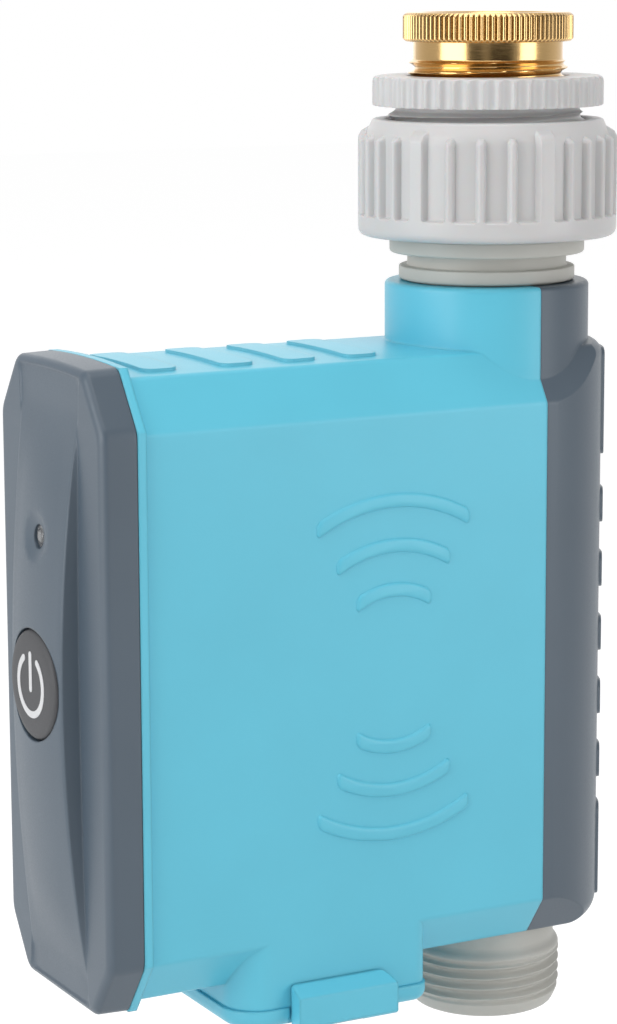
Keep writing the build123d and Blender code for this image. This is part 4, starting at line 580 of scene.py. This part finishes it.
def filled(outer, holes, marks=(), lines=()):
    """Triangles over a flat outline with round holes: points, faces, and where the loops' points went."""
    flat = list(outer)
    edges = [(spot, (spot + 1) % len(outer)) for spot in range(len(outer))]
    for radius, height, count in holes:
        first = len(flat)
        flat += circle_points(radius, height, count)
        edges += [(first + spot, first + (spot + 1) % count) for spot in range(count)]
    loops = len(flat)
    for line in lines:
        first = len(flat)
        flat += line
        edges += [(first + spot, first + spot + 1) for spot in range(len(line) - 1)]
    flat += marks
    made = geometry.delaunay_2d_cdt([Vector(spot) for spot in flat], edges, [], 0, 0.001)
    spots = [tuple(spot) for spot in made[0]]
    faces = []
    for face in made[2]:
        x = sum(spots[corner][0] for corner in face) / len(face)
        z = sum(spots[corner][1] for corner in face) / len(face)
        if all(hypot(x, z - height) > radius * 0.998 for radius, height, count in holes):
            faces.append(list(face))
    place = {}
    for spot, sources in enumerate(made[3]):
        for source in sources:
            place.setdefault(source, spot)
    return spots, faces, [place[spot] for spot in range(loops)]


def front_cover():
    """Slate cap with rounded edges, a bulged panel, a dish and the button's hole."""
    holes = [(PANEL_HOLE, BUTTON_HEIGHT, PANEL_HOLE_POINTS),
             (LENS_RADIUS + LENS_GAP, DISH_HEIGHT, DISH_POINTS)]
    outer, inner = SPIGOT_WALLS
    step_up = COVER_BASE + SPIGOT_STEP
    levels = [(WALL_INNER, PLATE_INNER), (WALL_INNER, step_up), (inner, step_up), (inner, SPIGOT_END),
              (outer, SPIGOT_END), (outer, COVER_BASE), (COVER_GAP, COVER_BASE),
              (COVER_GAP, COVER_BASE + COVER_GAP), (0.0, COVER_BASE + COVER_GAP),
              (COVER_LIP, COVER_FRONT - COVER_ROUND)]
    for step in range(1, ROUND_STEPS + 1):
        turn = pi / 2 * step / ROUND_STEPS
        levels.append((COVER_LIP + (COVER_DRAFT * step / ROUND_STEPS) + COVER_ROUND * (1 - cos(turn)),
                       COVER_FRONT - COVER_ROUND * (1 - sin(turn))))
    levels.append((levels[-1][0] + 0.3, COVER_FRONT))
    rings = [cover_outline(inset) for inset, depth in levels]
    count = len(rings[0])
    low = rings[-1][-1][1]
    high = max(z for x, z in rings[-1])

    lines = []
    rows = [low + 0.5 + (high - low - 1.0) * step / COVER_ROWS for step in range(COVER_ROWS + 1)]
    for side in (-1, 1):
        for inward in PANEL_LINES:
            line = []
            for row in rows:
                spot = (side * (panel_foot(row) - inward), row)
                if hypot(spot[0], row - BUTTON_HEIGHT) > PANEL_HOLE + 0.12 and row < high - 0.6:
                    line.append(spot)
                elif line:
                    lines.append(line)
                    line = []
            if line:
                lines.append(line)
    marks = []
    for row in rows:
        for x in COVER_COLUMNS:
            off_button = hypot(x, row - BUTTON_HEIGHT) > PANEL_HOLE + 0.7
            off_dish = hypot(x, row - DISH_HEIGHT) > DISH_RADIUS + 0.3
            if off_button and off_dish and 2.5 < row - low < high - low - 2.0:
                marks.append((x, row))
    for radius in DISH_RINGS:
        marks += circle_points(radius, DISH_HEIGHT, DISH_POINTS)
    for radius in (PANEL_HOLE + 0.2, PANEL_HOLE + 0.5):
        ring = circle_points(radius, BUTTON_HEIGHT, PANEL_HOLE_POINTS)
        marks += [spot for spot in ring if abs(spot[0]) < panel_foot(spot[1]) - 1]
    spots, faces, places = filled(rings[-1], holes, marks, lines)
    points = [(x, -cover_face(x, z), z) for x, z in spots]
    faces = [face[::-1] for face in faces]

    inner_spots, inner_faces, inner_places = filled(rings[0], holes)
    first = len(points)
    points += [(x, -PLATE_INNER, z) for x, z in inner_spots]
    faces += [[corner + first for corner in face] for face in inner_faces]
    inner_places = [place + first for place in inner_places]

    loops = [inner_places[:count]]
    for (inset, depth), ring in zip(levels[1:-1], rings[1:-1]):
        loops.append(list(range(len(points), len(points) + count)))
        points += [(x, -cover_face(x, z) if depth == COVER_FRONT else -depth, z) for x, z in ring]
    loops.append(places[:count])
    for near, far in zip(loops, loops[1:]):
        faces += [(near[spot], far[spot], far[(spot + 1) % count], near[(spot + 1) % count])
                  for spot in range(count)]
    start = count
    for radius, height, steps in holes:
        front, back = places[start:start + steps], inner_places[start:start + steps]
        faces += [(front[spot], back[spot], back[(spot + 1) % steps], front[(spot + 1) % steps])
                  for spot in range(steps)]
        start += steps
    piece("bulged_front_cover", points, faces, "housing", slate_abs, ["front_cover"],
          sharp=32, weighted=True)


def outlet_pipe():
    """Pipe through the spine, with its hose thread below and the valve's chamber above."""
    lead_in, lead_up = OUTLET_LEAD
    mouth, mouth_depth = PIPE_MOUTH
    floor, ceiling = CHAMBER_SPAN
    outline = softened([
        (mouth, PIPE_BOTTOM, 0.3), (OUTLET_CREST - lead_in, PIPE_BOTTOM, 0.8),
        (OUTLET_CREST, PIPE_BOTTOM + lead_up, 1.0), (OUTLET_CREST, OUTLET_THREAD[1], 0.6),
        (PIPE_RADIUS + 0.25, OUTLET_THREAD[1] + 1.2, 0.6), (PIPE_RADIUS, 4.0, 0), (PIPE_RADIUS, floor - 5, 0),
        (CHAMBER_OUTER, floor - 3, 0), (CHAMBER_OUTER, PIPE_TOP, 0), (PLUG_BORE, PIPE_TOP, 0),
        (PLUG_BORE, ceiling, 0), (CHAMBER_BORE, ceiling, 0), (CHAMBER_BORE, floor, 0), (SEAT_BORE, floor, 0),
        (SEAT_BORE, floor - 3, 0), (PIPE_BORE, floor - 3, 0), (PIPE_BORE, PIPE_BOTTOM + mouth_depth, 0.3),
        (mouth, PIPE_BOTTOM + mouth_depth, 0)])
    outline = divided(outline, OUTLET_RUN, PIPE_BOTTOM, OUTLET_THREAD[1] + 2, beyond=PIPE_OUTSIDE)

    def shape(turn, radius, height):
        if radius < PIPE_OUTSIDE or height > OUTLET_THREAD[1] + 0.1:
            return radius
        valley = thread_valley(turn, height, OUTLET_THREAD, G34_PITCH, OUTLET_CREST_SHARE)
        return min(radius, OUTLET_CREST - G34_DEPTH * valley)

    outer, bore = STEM_BOSS
    tip, root = STEM_BOSS_SPAN
    boss = turned([(outer, root), (outer, tip), (bore, tip), (bore, root)], BOSS_COLUMNS)
    boss_place = Matrix.Translation((0, 0, STEM_HEIGHT)) @ Matrix.Rotation(radians(-90), 4, "X")
    boss_points = [tuple(boss_place @ Vector(point)) for point in boss[0]]
    points, faces = join(turned(outline, THREAD_COLUMNS, shape), (boss_points, boss[1]))
    piece("outlet_pipe", points, faces, "housing", grey_nylon, ["valve_body"])


def bonnet():
    """Neck above the collar with its two flanges."""
    low_radius, low_bottom, low_top = BONNET_LOW_FLANGE
    high_radius, high_bottom = BONNET_HIGH_FLANGE
    socket, socket_depth = BONNET_SOCKET
    outline = softened([
        (BONNET_BORE, BONNET_BOTTOM, 0), (BONNET_PLUG, BONNET_BOTTOM, 0), (BONNET_PLUG, PIPE_TOP, 0),
        (CHAMBER_OUTER, PIPE_TOP, 0), (CHAMBER_OUTER, PIPE_TOP + 2, 0), (BONNET_RADIUS, PIPE_TOP + 3, 0),
        (BONNET_RADIUS, low_bottom, 0.2), (low_radius, low_bottom, 0.5), (low_radius, low_top, 0.35),
        (BONNET_RADIUS, low_top, 0.3), (BONNET_RADIUS, high_bottom, 0.3), (high_radius, high_bottom, 0.5),
        (high_radius, BONNET_TOP, 0.3), (socket, BONNET_TOP, 0.3), (socket, BONNET_TOP - socket_depth, 0),
        (BONNET_BORE, BONNET_TOP - socket_depth, 0)])
    points, faces = turned(outline, PLAIN_COLUMNS)
    piece("bonnet", points, faces, "housing", grey_nylon, ["valve_bonnet"])


def nut_rib_places():
    """Angles in degrees of the nut's lugs and of its narrow ribs."""
    lugs = [NUT_TURN + 360 / NUT_LUGS * number for number in range(NUT_LUGS)]
    ribs = []
    for number, lug in enumerate(lugs):
        count, step = RIB_STEPS[(number + 1) % 2]
        middle = lug + 180 / NUT_LUGS
        ribs += [middle + step * (place - (count - 1) / 2) for place in range(count)]
    return lugs, ribs


def swivel_nut():
    """Nut with six lugs, narrow ribs with round tops between them, and a proud band below."""
    lugs, ribs = nut_rib_places()
    band = NUT_BOTTOM + NUT_BAND
    shoulder = NUT_TOP - NUT_SHOULDER
    outline = softened([
        (NUT_LIP_BORE, NUT_BOTTOM, 0.2), (NUT_CREST, NUT_BOTTOM, 1.5), (NUT_CREST, band, 0.4),
        (NUT_VALLEY, band + 0.1, 0.4), (NUT_VALLEY, shoulder, 1.0), (NUT_TOP_RADIUS, NUT_TOP, 0.5),
        (NUT_BORE + 0.5, NUT_TOP, 0.2), (NUT_BORE, NUT_TOP - 0.5, 0.2), (NUT_BORE, NUT_BOTTOM + NUT_LIP, 0),
        (NUT_LIP_BORE, NUT_BOTTOM + NUT_LIP, 0)], steps=5)
    outline = divided(outline, NUT_RUN, NUT_BOTTOM, NUT_TOP, beyond=NUT_TOP_RADIUS - 0.6)
    spread = NUT_CREST * pi / 180

    def shape(turn, radius, height):
        if radius < NUT_OUTSIDE or height < band - 0.3:
            return radius
        angle = turn * 180 / pi
        rise = 0.0
        for rib in ribs:
            across = abs((angle - rib + 180) % 360 - 180) * spread
            over = max(height - (NUT_TOP - RIB_TOP - RIB_WIDTH / 2), 0)
            rise = max(rise, sqrt(max(1 - (2 * hypot(across, over) / RIB_WIDTH) ** 2, 0)))
        for lug in lugs:
            across = abs((angle - lug + 180) % 360 - 180) * spread
            side = blend((LUG_FOOT / 2 - across) / ((LUG_FOOT - LUG_FACE) / 2))
            rise = max(rise, side * blend((NUT_TOP - LUG_TOP - height) / LUG_SLOPE + 0.5))
        cone = NUT_TOP_RADIUS + NUT_TOP_STEP + (NUT_TOP - height) * NUT_TOP_SLOPE
        return max(radius, min(radius + rise * (NUT_CREST - NUT_VALLEY), NUT_CREST, cone))

    points, faces = turned(outline, NUT_COLUMNS, shape)
    piece("ribbed_swivel_nut", points, faces, "swivel_nut", grey_acetal,
          ["swivel_nut"])


def reducer():
    """Large male thread below a fluted ring, with the brass piece's socket through it."""
    ring_bottom = RING_TOP - RING_HEIGHT
    width, bend = RING_FLUTE_SHAPE
    span = (STUB_BOTTOM + 0.2, ring_bottom + 0.6)
    outline = softened([
        (REDUCER_BORE, STUB_BOTTOM, 0.2), (G1_CREST - 1.2, STUB_BOTTOM, 0.4),
        (G1_CREST, STUB_BOTTOM + 1.2, 0.4), (G1_CREST, ring_bottom - 1.6, 0.3),
        (G1_CREST - G1_DEPTH, ring_bottom - 0.8, 0.3), (G1_CREST - G1_DEPTH, ring_bottom, 0.2)])
    outline = outline[:-1] + softened([
        (G1_CREST - G1_DEPTH, ring_bottom, 0), (RING_RADIUS, ring_bottom, 0.35), (RING_RADIUS, RING_TOP, 1.1),
        (REDUCER_SOCKET, RING_TOP, 0.5), (REDUCER_SOCKET, STUB_BOTTOM + REDUCER_FLOOR, 0),
        (REDUCER_BORE, STUB_BOTTOM + REDUCER_FLOOR, 0)])
    outline = divided(outline, STUB_RUN, STUB_BOTTOM, ring_bottom, beyond=STUB_OUTSIDE)
    outline = divided(outline, RING_RUN, ring_bottom, RING_TOP, beyond=RING_OUTSIDE)

    def shape(turn, radius, height):
        if height < ring_bottom:
            if radius < STUB_OUTSIDE:
                return radius
            valley = thread_valley(turn, height, span, G1_PITCH, THREAD_CREST_SHARE)
            return min(radius, G1_CREST - G1_DEPTH * valley)
        if radius < RING_RADIUS - 2:
            return radius
        flute = ((turn * 180 / pi - RING_TURN) * RING_FLUTES / 360) % 1.0
        across = abs(2 * flute - 1)
        cut = (1 - min(across / width, 1.0) ** bend) * RING_FLUTE_DEPTH
        return min(radius, RING_RADIUS - cut)

    points, faces = turned(outline, RING_FLUTES * FLUTE_COLUMNS, shape)
    piece("fluted_reducer", points, faces, "reducer", grey_acetal, ["reducer"])


def brass_body():
    """Threaded part and polished neck of the brass adapter, with the tap's thread inside."""
    neck_bottom = ADAPTER_BOTTOM + ADAPTER_THREAD
    head_bottom = neck_bottom + NECK_HEIGHT
    socket, depth = TAP_SOCKET
    floor = ADAPTER_TOP - depth
    thread_floor = floor + TAP_THREAD_FLOOR
    outline = softened([
        (ADAPTER_BORE, ADAPTER_BOTTOM, 0.2), (G34_CREST - 1.0, ADAPTER_BOTTOM, 0.2),
        (G34_CREST, ADAPTER_BOTTOM + 1.0, 0.3), (G34_CREST, neck_bottom - 0.5, 0.3),
        (NECK_RADIUS, neck_bottom, 0.25), (NECK_RADIUS, head_bottom + 1.0, 0),
        (socket, head_bottom + 1.0, 0), (socket, thread_floor, 0), (TAP_RELIEF, thread_floor, 0),
        (TAP_RELIEF, floor, 0), (ADAPTER_BORE, floor, 0)])
    outline = divided(outline, BRASS_RUN, ADAPTER_BOTTOM, neck_bottom, beyond=BRASS_OUTSIDE)
    span = (ADAPTER_BOTTOM, neck_bottom + 0.5)

    def shape(turn, radius, height):
        if radius < BRASS_OUTSIDE or height > neck_bottom:
            return radius
        valley = thread_valley(turn, height, span, G34_PITCH, THREAD_CREST_SHARE)
        return min(radius, G34_CREST - G34_DEPTH * valley)

    points, faces = turned(outline, THREAD_COLUMNS, shape)
    piece("brass_threaded_body", points, faces, "tap_adapter", brass, ["tap_adapter"], sharp=30)


def brass_head():
    """Knurled head of the brass adapter: V grooves between flat crests, lips and a chamfered mouth."""
    bottom = ADAPTER_BOTTOM + ADAPTER_THREAD + NECK_HEIGHT
    socket = TAP_SOCKET[0]
    outline = softened([
        (socket + 0.6, bottom, 0), (HEAD_RADIUS - 0.5, bottom, 0.12), (HEAD_RADIUS, bottom + 0.45, 0.15),
        (HEAD_RADIUS, ADAPTER_TOP - 0.6, 0.15), (HEAD_RADIUS - 0.6, ADAPTER_TOP, 0.15),
        (socket + 0.7, ADAPTER_TOP, 0.15), (socket, ADAPTER_TOP - 0.7, 0.1), (socket, bottom + 0.9, 0),
        (socket + 0.6, bottom + 0.9, 0)])
    outline = divided(outline, HEAD_RUN, bottom, ADAPTER_TOP, beyond=HEAD_RADIUS - 1.4)

    def shape(turn, radius, height):
        if radius < HEAD_RADIUS - 1.5:
            return radius
        knurl = abs(2 * ((turn * HEAD_KNURLS / tau) % 1.0) - 1)
        groove = max(knurl - KNURL_FLAT, 0) / (1 - KNURL_FLAT)
        return min(radius, HEAD_RADIUS - KNURL_DEPTH * groove)

    points, faces = turned(outline, HEAD_KNURLS * KNURL_COLUMNS, shape)
    piece("brass_knurled_head", points, faces, "tap_adapter", brass, sharp=38)


def tap_thread():
    """Female thread in the brass piece's socket, as a ridged sleeve on its wall."""
    socket, depth = TAP_SOCKET
    low = ADAPTER_TOP - depth + TAP_THREAD_FLOOR + 0.1
    high = ADAPTER_TOP - 0.9
    span = (low, high)
    sleeve = [(socket + 0.1, low), (socket + 0.1, high), (socket, high), (socket, low)]
    outline = divided(sleeve, SLEEVE_RUN, low, high)
    middle = socket + 0.05

    def shape(turn, radius, height):
        if radius > middle:
            return radius
        ridge = 1 - thread_valley(turn, height, span, G34_PITCH, THREAD_CREST_SHARE)
        fade = blend((height - low) / G34_PITCH) * blend((high - height) / G34_PITCH)
        return radius - G12_DEPTH * ridge * fade

    points, faces = turned(outline, PLAIN_COLUMNS, shape)
    piece("tap_socket_thread", points, faces, "tap_adapter", brass)


def facing_front(height):
    """Place of something turned about an axis through the front: its own +Z points to -Y."""
    return Matrix.Translation((0, 0, height)) @ Matrix.Rotation(radians(90), 4, "X")


def power_button():
    """Push button with a slightly domed face, a rounded edge, a flange behind it and a stem to the switch."""
    face = -BUTTON_FACE - SIGN_RISE + SIGN_ROOT
    flange, flange_front, flange_thickness = BUTTON_FLANGE
    flange_back = flange_front - flange_thickness
    stem, stem_end = BUTTON_STEM
    inside = face - BUTTON_WALL
    outline = softened([
        (AXIS_GAP, stem_end, 0), (stem, stem_end, 0.2), (stem, inside, 0),
        (BUTTON_RADIUS - BUTTON_WALL, inside, 0), (BUTTON_RADIUS - BUTTON_WALL, flange_back, 0),
        (flange, flange_back, 0), (flange, flange_front, 0), (BUTTON_RADIUS, flange_front, 0),
        (BUTTON_RADIUS, face - 0.45, 0.9), (BUTTON_RADIUS - 1.2, face - 0.12, 0.9),
        (BUTTON_FLAT, face, 1.2), (AXIS_GAP, face, 0)])
    points, faces = turned(outline, BUTTON_COLUMNS)
    piece("domed_power_button", points, faces, "power_button", charcoal_silicone,
          ["power_button"], facing_front(BUTTON_HEIGHT))


def stroke(path, width, depth, rise):
    """Flat ribbon with rounded ends along a list of (x, z) points, raised from one depth by its rise."""
    left = []
    right = []
    for number, point in enumerate(path):
        before = Vector(path[max(number - 1, 0)])
        after = Vector(path[min(number + 1, len(path) - 1)])
        run = (after - before).normalized()
        side = Vector((-run.y, run.x)) * width / 2
        left.append(Vector(point) + side)
        right.append(Vector(point) - side)

    def cap(centre, start, turns=8):
        reach = start - centre
        return [centre + Matrix.Rotation(-pi * step / turns, 2) @ reach for step in range(1, turns)]

    outline = left + cap(Vector(path[-1]), left[-1]) + right[::-1] + cap(Vector(path[0]), right[0])
    count = len(outline)
    points = [(spot.x, depth, spot.y) for spot in outline]
    points += [(spot.x, depth - rise, spot.y) for spot in outline]
    faces = [(corner, (corner + 1) % count, (corner + 1) % count + count, corner + count)
             for corner in range(count)]
    faces.append(list(range(count, 2 * count)))
    faces.append(list(range(count))[::-1])
    return points, faces


def power_sign():
    """Generic on-off sign: an open ring with a bar in its gap."""
    steps = 40
    first = radians(90 + SIGN_GAP)
    sweep = tau - 2 * radians(SIGN_GAP)
    turns = [first + sweep * step / steps for step in range(steps + 1)]
    ring = [(SIGN_RADIUS * cos(turn), BUTTON_HEIGHT + SIGN_RADIUS * sin(turn)) for turn in turns]
    low, high = SIGN_BAR
    bar = [(0.0, BUTTON_HEIGHT + low), (0.0, BUTTON_HEIGHT + high)]
    depth = BUTTON_FACE + SIGN_RISE
    points, faces = join(*[stroke(path, SIGN_STROKE, depth, SIGN_RISE) for path in (ring, bar)])
    piece("power_sign", points, faces, "power_button", sign_ink, sharp=30)


def arc_ring(radius, side, inset, rise):
    """Points round an arc with upright ends: a distance inside its foot, and a rise above the case."""
    centre_y, centre_z = ARC_CENTRE
    reach = radius * sin(radians(ARC_HALF_ANGLE)) - inset
    width = ARC_WIDTH / 2 - inset
    bend = max(ARC_CORNER - inset, 0.12)
    spots = []
    for quarter, (right, up) in enumerate(((1, 1), (-1, 1), (-1, -1), (1, -1))):
        for step in range(ARC_CORNER_STEPS + 1):
            turn = pi / 2 * (quarter + step / ARC_CORNER_STEPS)
            spots.append((right * (reach - bend) + bend * cos(turn), up * (width - bend) + bend * sin(turn)))
    ring = []
    for number, (along, across) in enumerate(spots):
        next_along, next_across = spots[(number + 1) % len(spots)]
        count = max(int(abs(next_along - along) / ARC_STEP), 1)
        for step in range(count):
            y = along + (next_along - along) * step / count
            z = across + (next_across - across) * step / count
            height = side * sqrt((radius - ARC_WIDTH / 2 + z) ** 2 - y * y)
            ring.append((CASE_SIDE + rise, centre_y + y, centre_z + height))
    return ring


def side_arcs():
    """Six raised arcs on the case's side, three above and three below their common centre."""
    parts = []
    for radius in ARC_RADII:
        for side in (1, -1):
            rings = [arc_ring(radius, side, inset, rise) for inset, rise in ARC_PROFILE]
            count = len(rings[0])
            points = [point for each in rings for point in each]
            faces = []
            for level in range(len(rings) - 1):
                for spot in range(count):
                    there = (spot + 1) % count
                    low, high = level * count, (level + 1) * count
                    face = (low + spot, low + there, high + there, high + spot)
                    faces.append(face if side > 0 else face[::-1])
            lid = list(range((len(rings) - 1) * count, len(rings) * count))
            faces.append(lid if side > 0 else lid[::-1])
            parts.append((points, faces))
    points, faces = join(*parts)
    piece("side_arcs", points, faces, "housing", blue_abs, sharp=50)


def status_lens():
    """Light pipe in the dish: a dark ring of shadow round a slightly domed end."""
    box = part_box("led_light_pipe")
    front = -box[0][1] / MM
    back = -box[1][1] / MM
    outline = softened([
        (AXIS_GAP, back, 0), (LENS_RADIUS, back, 0.1), (LENS_RADIUS, front - 0.4, 0.1),
        (LENS_END[0], front - 0.45, 0.2), (LENS_END[1], front, 0.3), (AXIS_GAP, front, 0)])
    points, faces = turned(outline, LENS_COLUMNS)
    piece("status_lens", points, faces, "housing", acrylic, ["led_light_pipe"],
          facing_front(DISH_HEIGHT))


# Studio: places in metres, turns in degrees and the lens in millimetres
STUDIO_MIDDLE = Vector((0.0, -0.03, -0.08))
LAMP_DISTANCE = 0.95
AMBIENT = 0.4
FLOOR_DROP = 0.045
FLOOR_HALF = 3.0
FLOOR_GLOW = 0.87
# Camera, from the fit to the photograph's measured points
CAMERA_TURN = -31.57
CAMERA_LENS = 106.593
CAMERA_PLACE = Vector((0.43254805, -0.26574591, 0.016721))
CAMERA_RIGHT = Vector((0.4729009, 0.88110694, -0.0039112))
CAMERA_UP = Vector((-0.1537737, 0.0869014, 0.9842773))
# Brightness of the walls that the object mirrors, by the angle from the camera's side
WALL_LEVELS = ((-180, 1.4), (-150, 0.9), (-112, 0.6), (-90, 0.55), (-34, 0.5), (-28, 0.06), (-12, 0.05),
               (-6, 0.22), (2, 0.2), (6, 0.05), (34, 0.05), (46, 0.35), (100, 0.5), (112, 0.6), (150, 0.9),
               (179, 1.4))


def lamp(name, azimuth, elevation, size, radiance):
    """Soft box that looks at the middle of the timer, with a given brightness against white."""
    data = bpy.data.lights.new(name, "AREA")
    data.shape = "RECTANGLE"
    data.size, data.size_y = size
    data.energy = radiance * pi * size[0] * size[1]
    made = bpy.data.objects.new(name, data)
    bpy.context.scene.collection.objects.link(made)
    turn, rise = radians(azimuth), radians(elevation)
    away = Vector((cos(turn) * cos(rise), sin(turn) * cos(rise), sin(rise)))
    made.location = STUDIO_MIDDLE + away * LAMP_DISTANCE
    made.rotation_euler = away.to_track_quat("Z", "Y").to_euler()
    made.visible_camera = False


def studio_world():
    """White backdrop for the eye, an even fill for the object, and darker walls for what it mirrors."""
    world = bpy.data.worlds.new("studio")
    bpy.context.scene.world = world
    world.use_nodes = True
    tree = world.node_tree
    tree.nodes.clear()
    path = add(tree, "LightPath")
    towards = add(tree, "SeparateXYZ", {"Vector": add(tree, "TexCoord").outputs["Generated"]})
    turn = add(tree, "Math", {0: towards.outputs["Y"], 1: towards.outputs["X"]}, operation="ARCTAN2")
    beside = add(tree, "Math", {0: turn.outputs[0], 1: radians(-CAMERA_TURN)}, operation="ADD")
    share = add(tree, "MapRange", {"Value": beside.outputs[0], "From Min": -pi, "From Max": pi})
    walls = add(tree, "ValToRGB", {"Fac": share.outputs["Result"]})
    ramp = walls.color_ramp
    for number, (angle, level) in enumerate(WALL_LEVELS):
        position = (angle + 180) / 360
        element = ramp.elements[number] if number < 2 else ramp.elements.new(position)
        element.position = position
        element.color = (level, level, level, 1)
    open_sight = add(tree, "Math", {0: path.outputs["Is Camera Ray"], 1: path.outputs["Is Transmission Ray"]},
                     operation="MAXIMUM")
    lifted = add(tree, "Math", {0: open_sight.outputs[0], 1: 1 - AMBIENT, 2: AMBIENT},
                 operation="MULTIPLY_ADD")
    mirrored = add(tree, "Math", {0: walls.outputs["Color"], 1: AMBIENT}, operation="SUBTRACT")
    glossy = path.outputs["Is Glossy Ray"]
    strength = add(tree, "Math", {0: glossy, 1: mirrored.outputs[0], 2: lifted.outputs[0]},
                   operation="MULTIPLY_ADD")
    background = add(tree, "Background", {"Color": (1, 1, 1, 1), "Strength": strength.outputs[0]})
    output = add(tree, "OutputWorld")
    tree.links.new(background.outputs[0], output.inputs["Surface"])


def studio_floor():
    """Wide pale floor a little below the hanging timer. It looks white, and its faint shadow stays."""
    material, tree, place = blank("pale_studio_floor")
    path = add(tree, "LightPath")
    seen = add(tree, "Math", {0: path.outputs["Is Camera Ray"], 1: path.outputs["Is Glossy Ray"]},
               operation="MAXIMUM")
    seen = add(tree, "Math", {0: seen.outputs[0], 1: path.outputs["Is Transmission Ray"]},
               operation="MAXIMUM")
    paper = add(tree, "TexNoise", {"Vector": place, "Scale": 60.0, "Detail": 2.0}).outputs["Fac"]
    tone = add(tree, "MixRGB", {"Fac": paper, "Color1": srgb("#E6E6E6"), "Color2": srgb("#EEEEEE")})
    matt = add(tree, "BsdfDiffuse", {"Color": tone.outputs["Color"]})
    faint = add(tree, "BsdfDiffuse", {"Color": (0.3, 0.3, 0.3, 1)})
    glow = add(tree, "Emission", {"Color": (1, 1, 1, 1), "Strength": FLOOR_GLOW})
    white = add(tree, "AddShader", {0: faint.outputs[0], 1: glow.outputs[0]})
    both = add(tree, "MixShader", {"Fac": seen.outputs[0], 1: matt.outputs[0], 2: white.outputs[0]})
    below = add(tree, "NewGeometry").outputs["Backfacing"]
    clear = add(tree, "BsdfTransparent")
    finished(material, tree, add(tree, "MixShader", {"Fac": below, 1: both.outputs[0], 2: clear.outputs[0]}))
    level = cad_box[0][2] - FLOOR_DROP
    corners = [(x * FLOOR_HALF, y * FLOOR_HALF, level) for x, y in ((-1, -1), (1, -1), (1, 1), (-1, 1))]
    mesh = bpy.data.meshes.new("floor")
    mesh.from_pydata(corners, [], [(0, 1, 2, 3)])
    mesh.materials.append(material)
    floor = bpy.data.objects.new("floor", mesh)
    bpy.context.scene.collection.objects.link(floor)


def photo_camera():
    """Camera fitted to the photograph's measured points: its place and its own axes."""
    data = bpy.data.cameras.new("photo_camera")
    data.lens = CAMERA_LENS
    data.sensor_width = 36.0
    data.sensor_fit = "AUTO"
    camera = bpy.data.objects.new("photo_camera", data)
    bpy.context.scene.collection.objects.link(camera)
    axes = Matrix((CAMERA_RIGHT, CAMERA_UP, CAMERA_RIGHT.cross(CAMERA_UP))).transposed().to_4x4()
    camera.matrix_world = Matrix.Translation(CAMERA_PLACE) @ axes
    bpy.context.scene.camera = camera


dress_cad_nodes()
trimmed_case()
front_cover()
outlet_pipe()
bonnet()
swivel_nut()
reducer()
brass_body()
brass_head()
tap_thread()
power_button()
power_sign()
side_arcs()
status_lens()

studio_world()
studio_floor()
lamp("left_soft_box", CAMERA_TURN - 55, 7, (0.75, 1.0), 3.2)
lamp("right_soft_box", CAMERA_TURN + 66, 2, (0.45, 1.0), 2.9)
lamp("top_soft_box", CAMERA_TURN - 10, 74, (0.8, 0.8), 2.4)
photo_camera()
bpy.context.scene.view_settings.view_transform = "Standard"
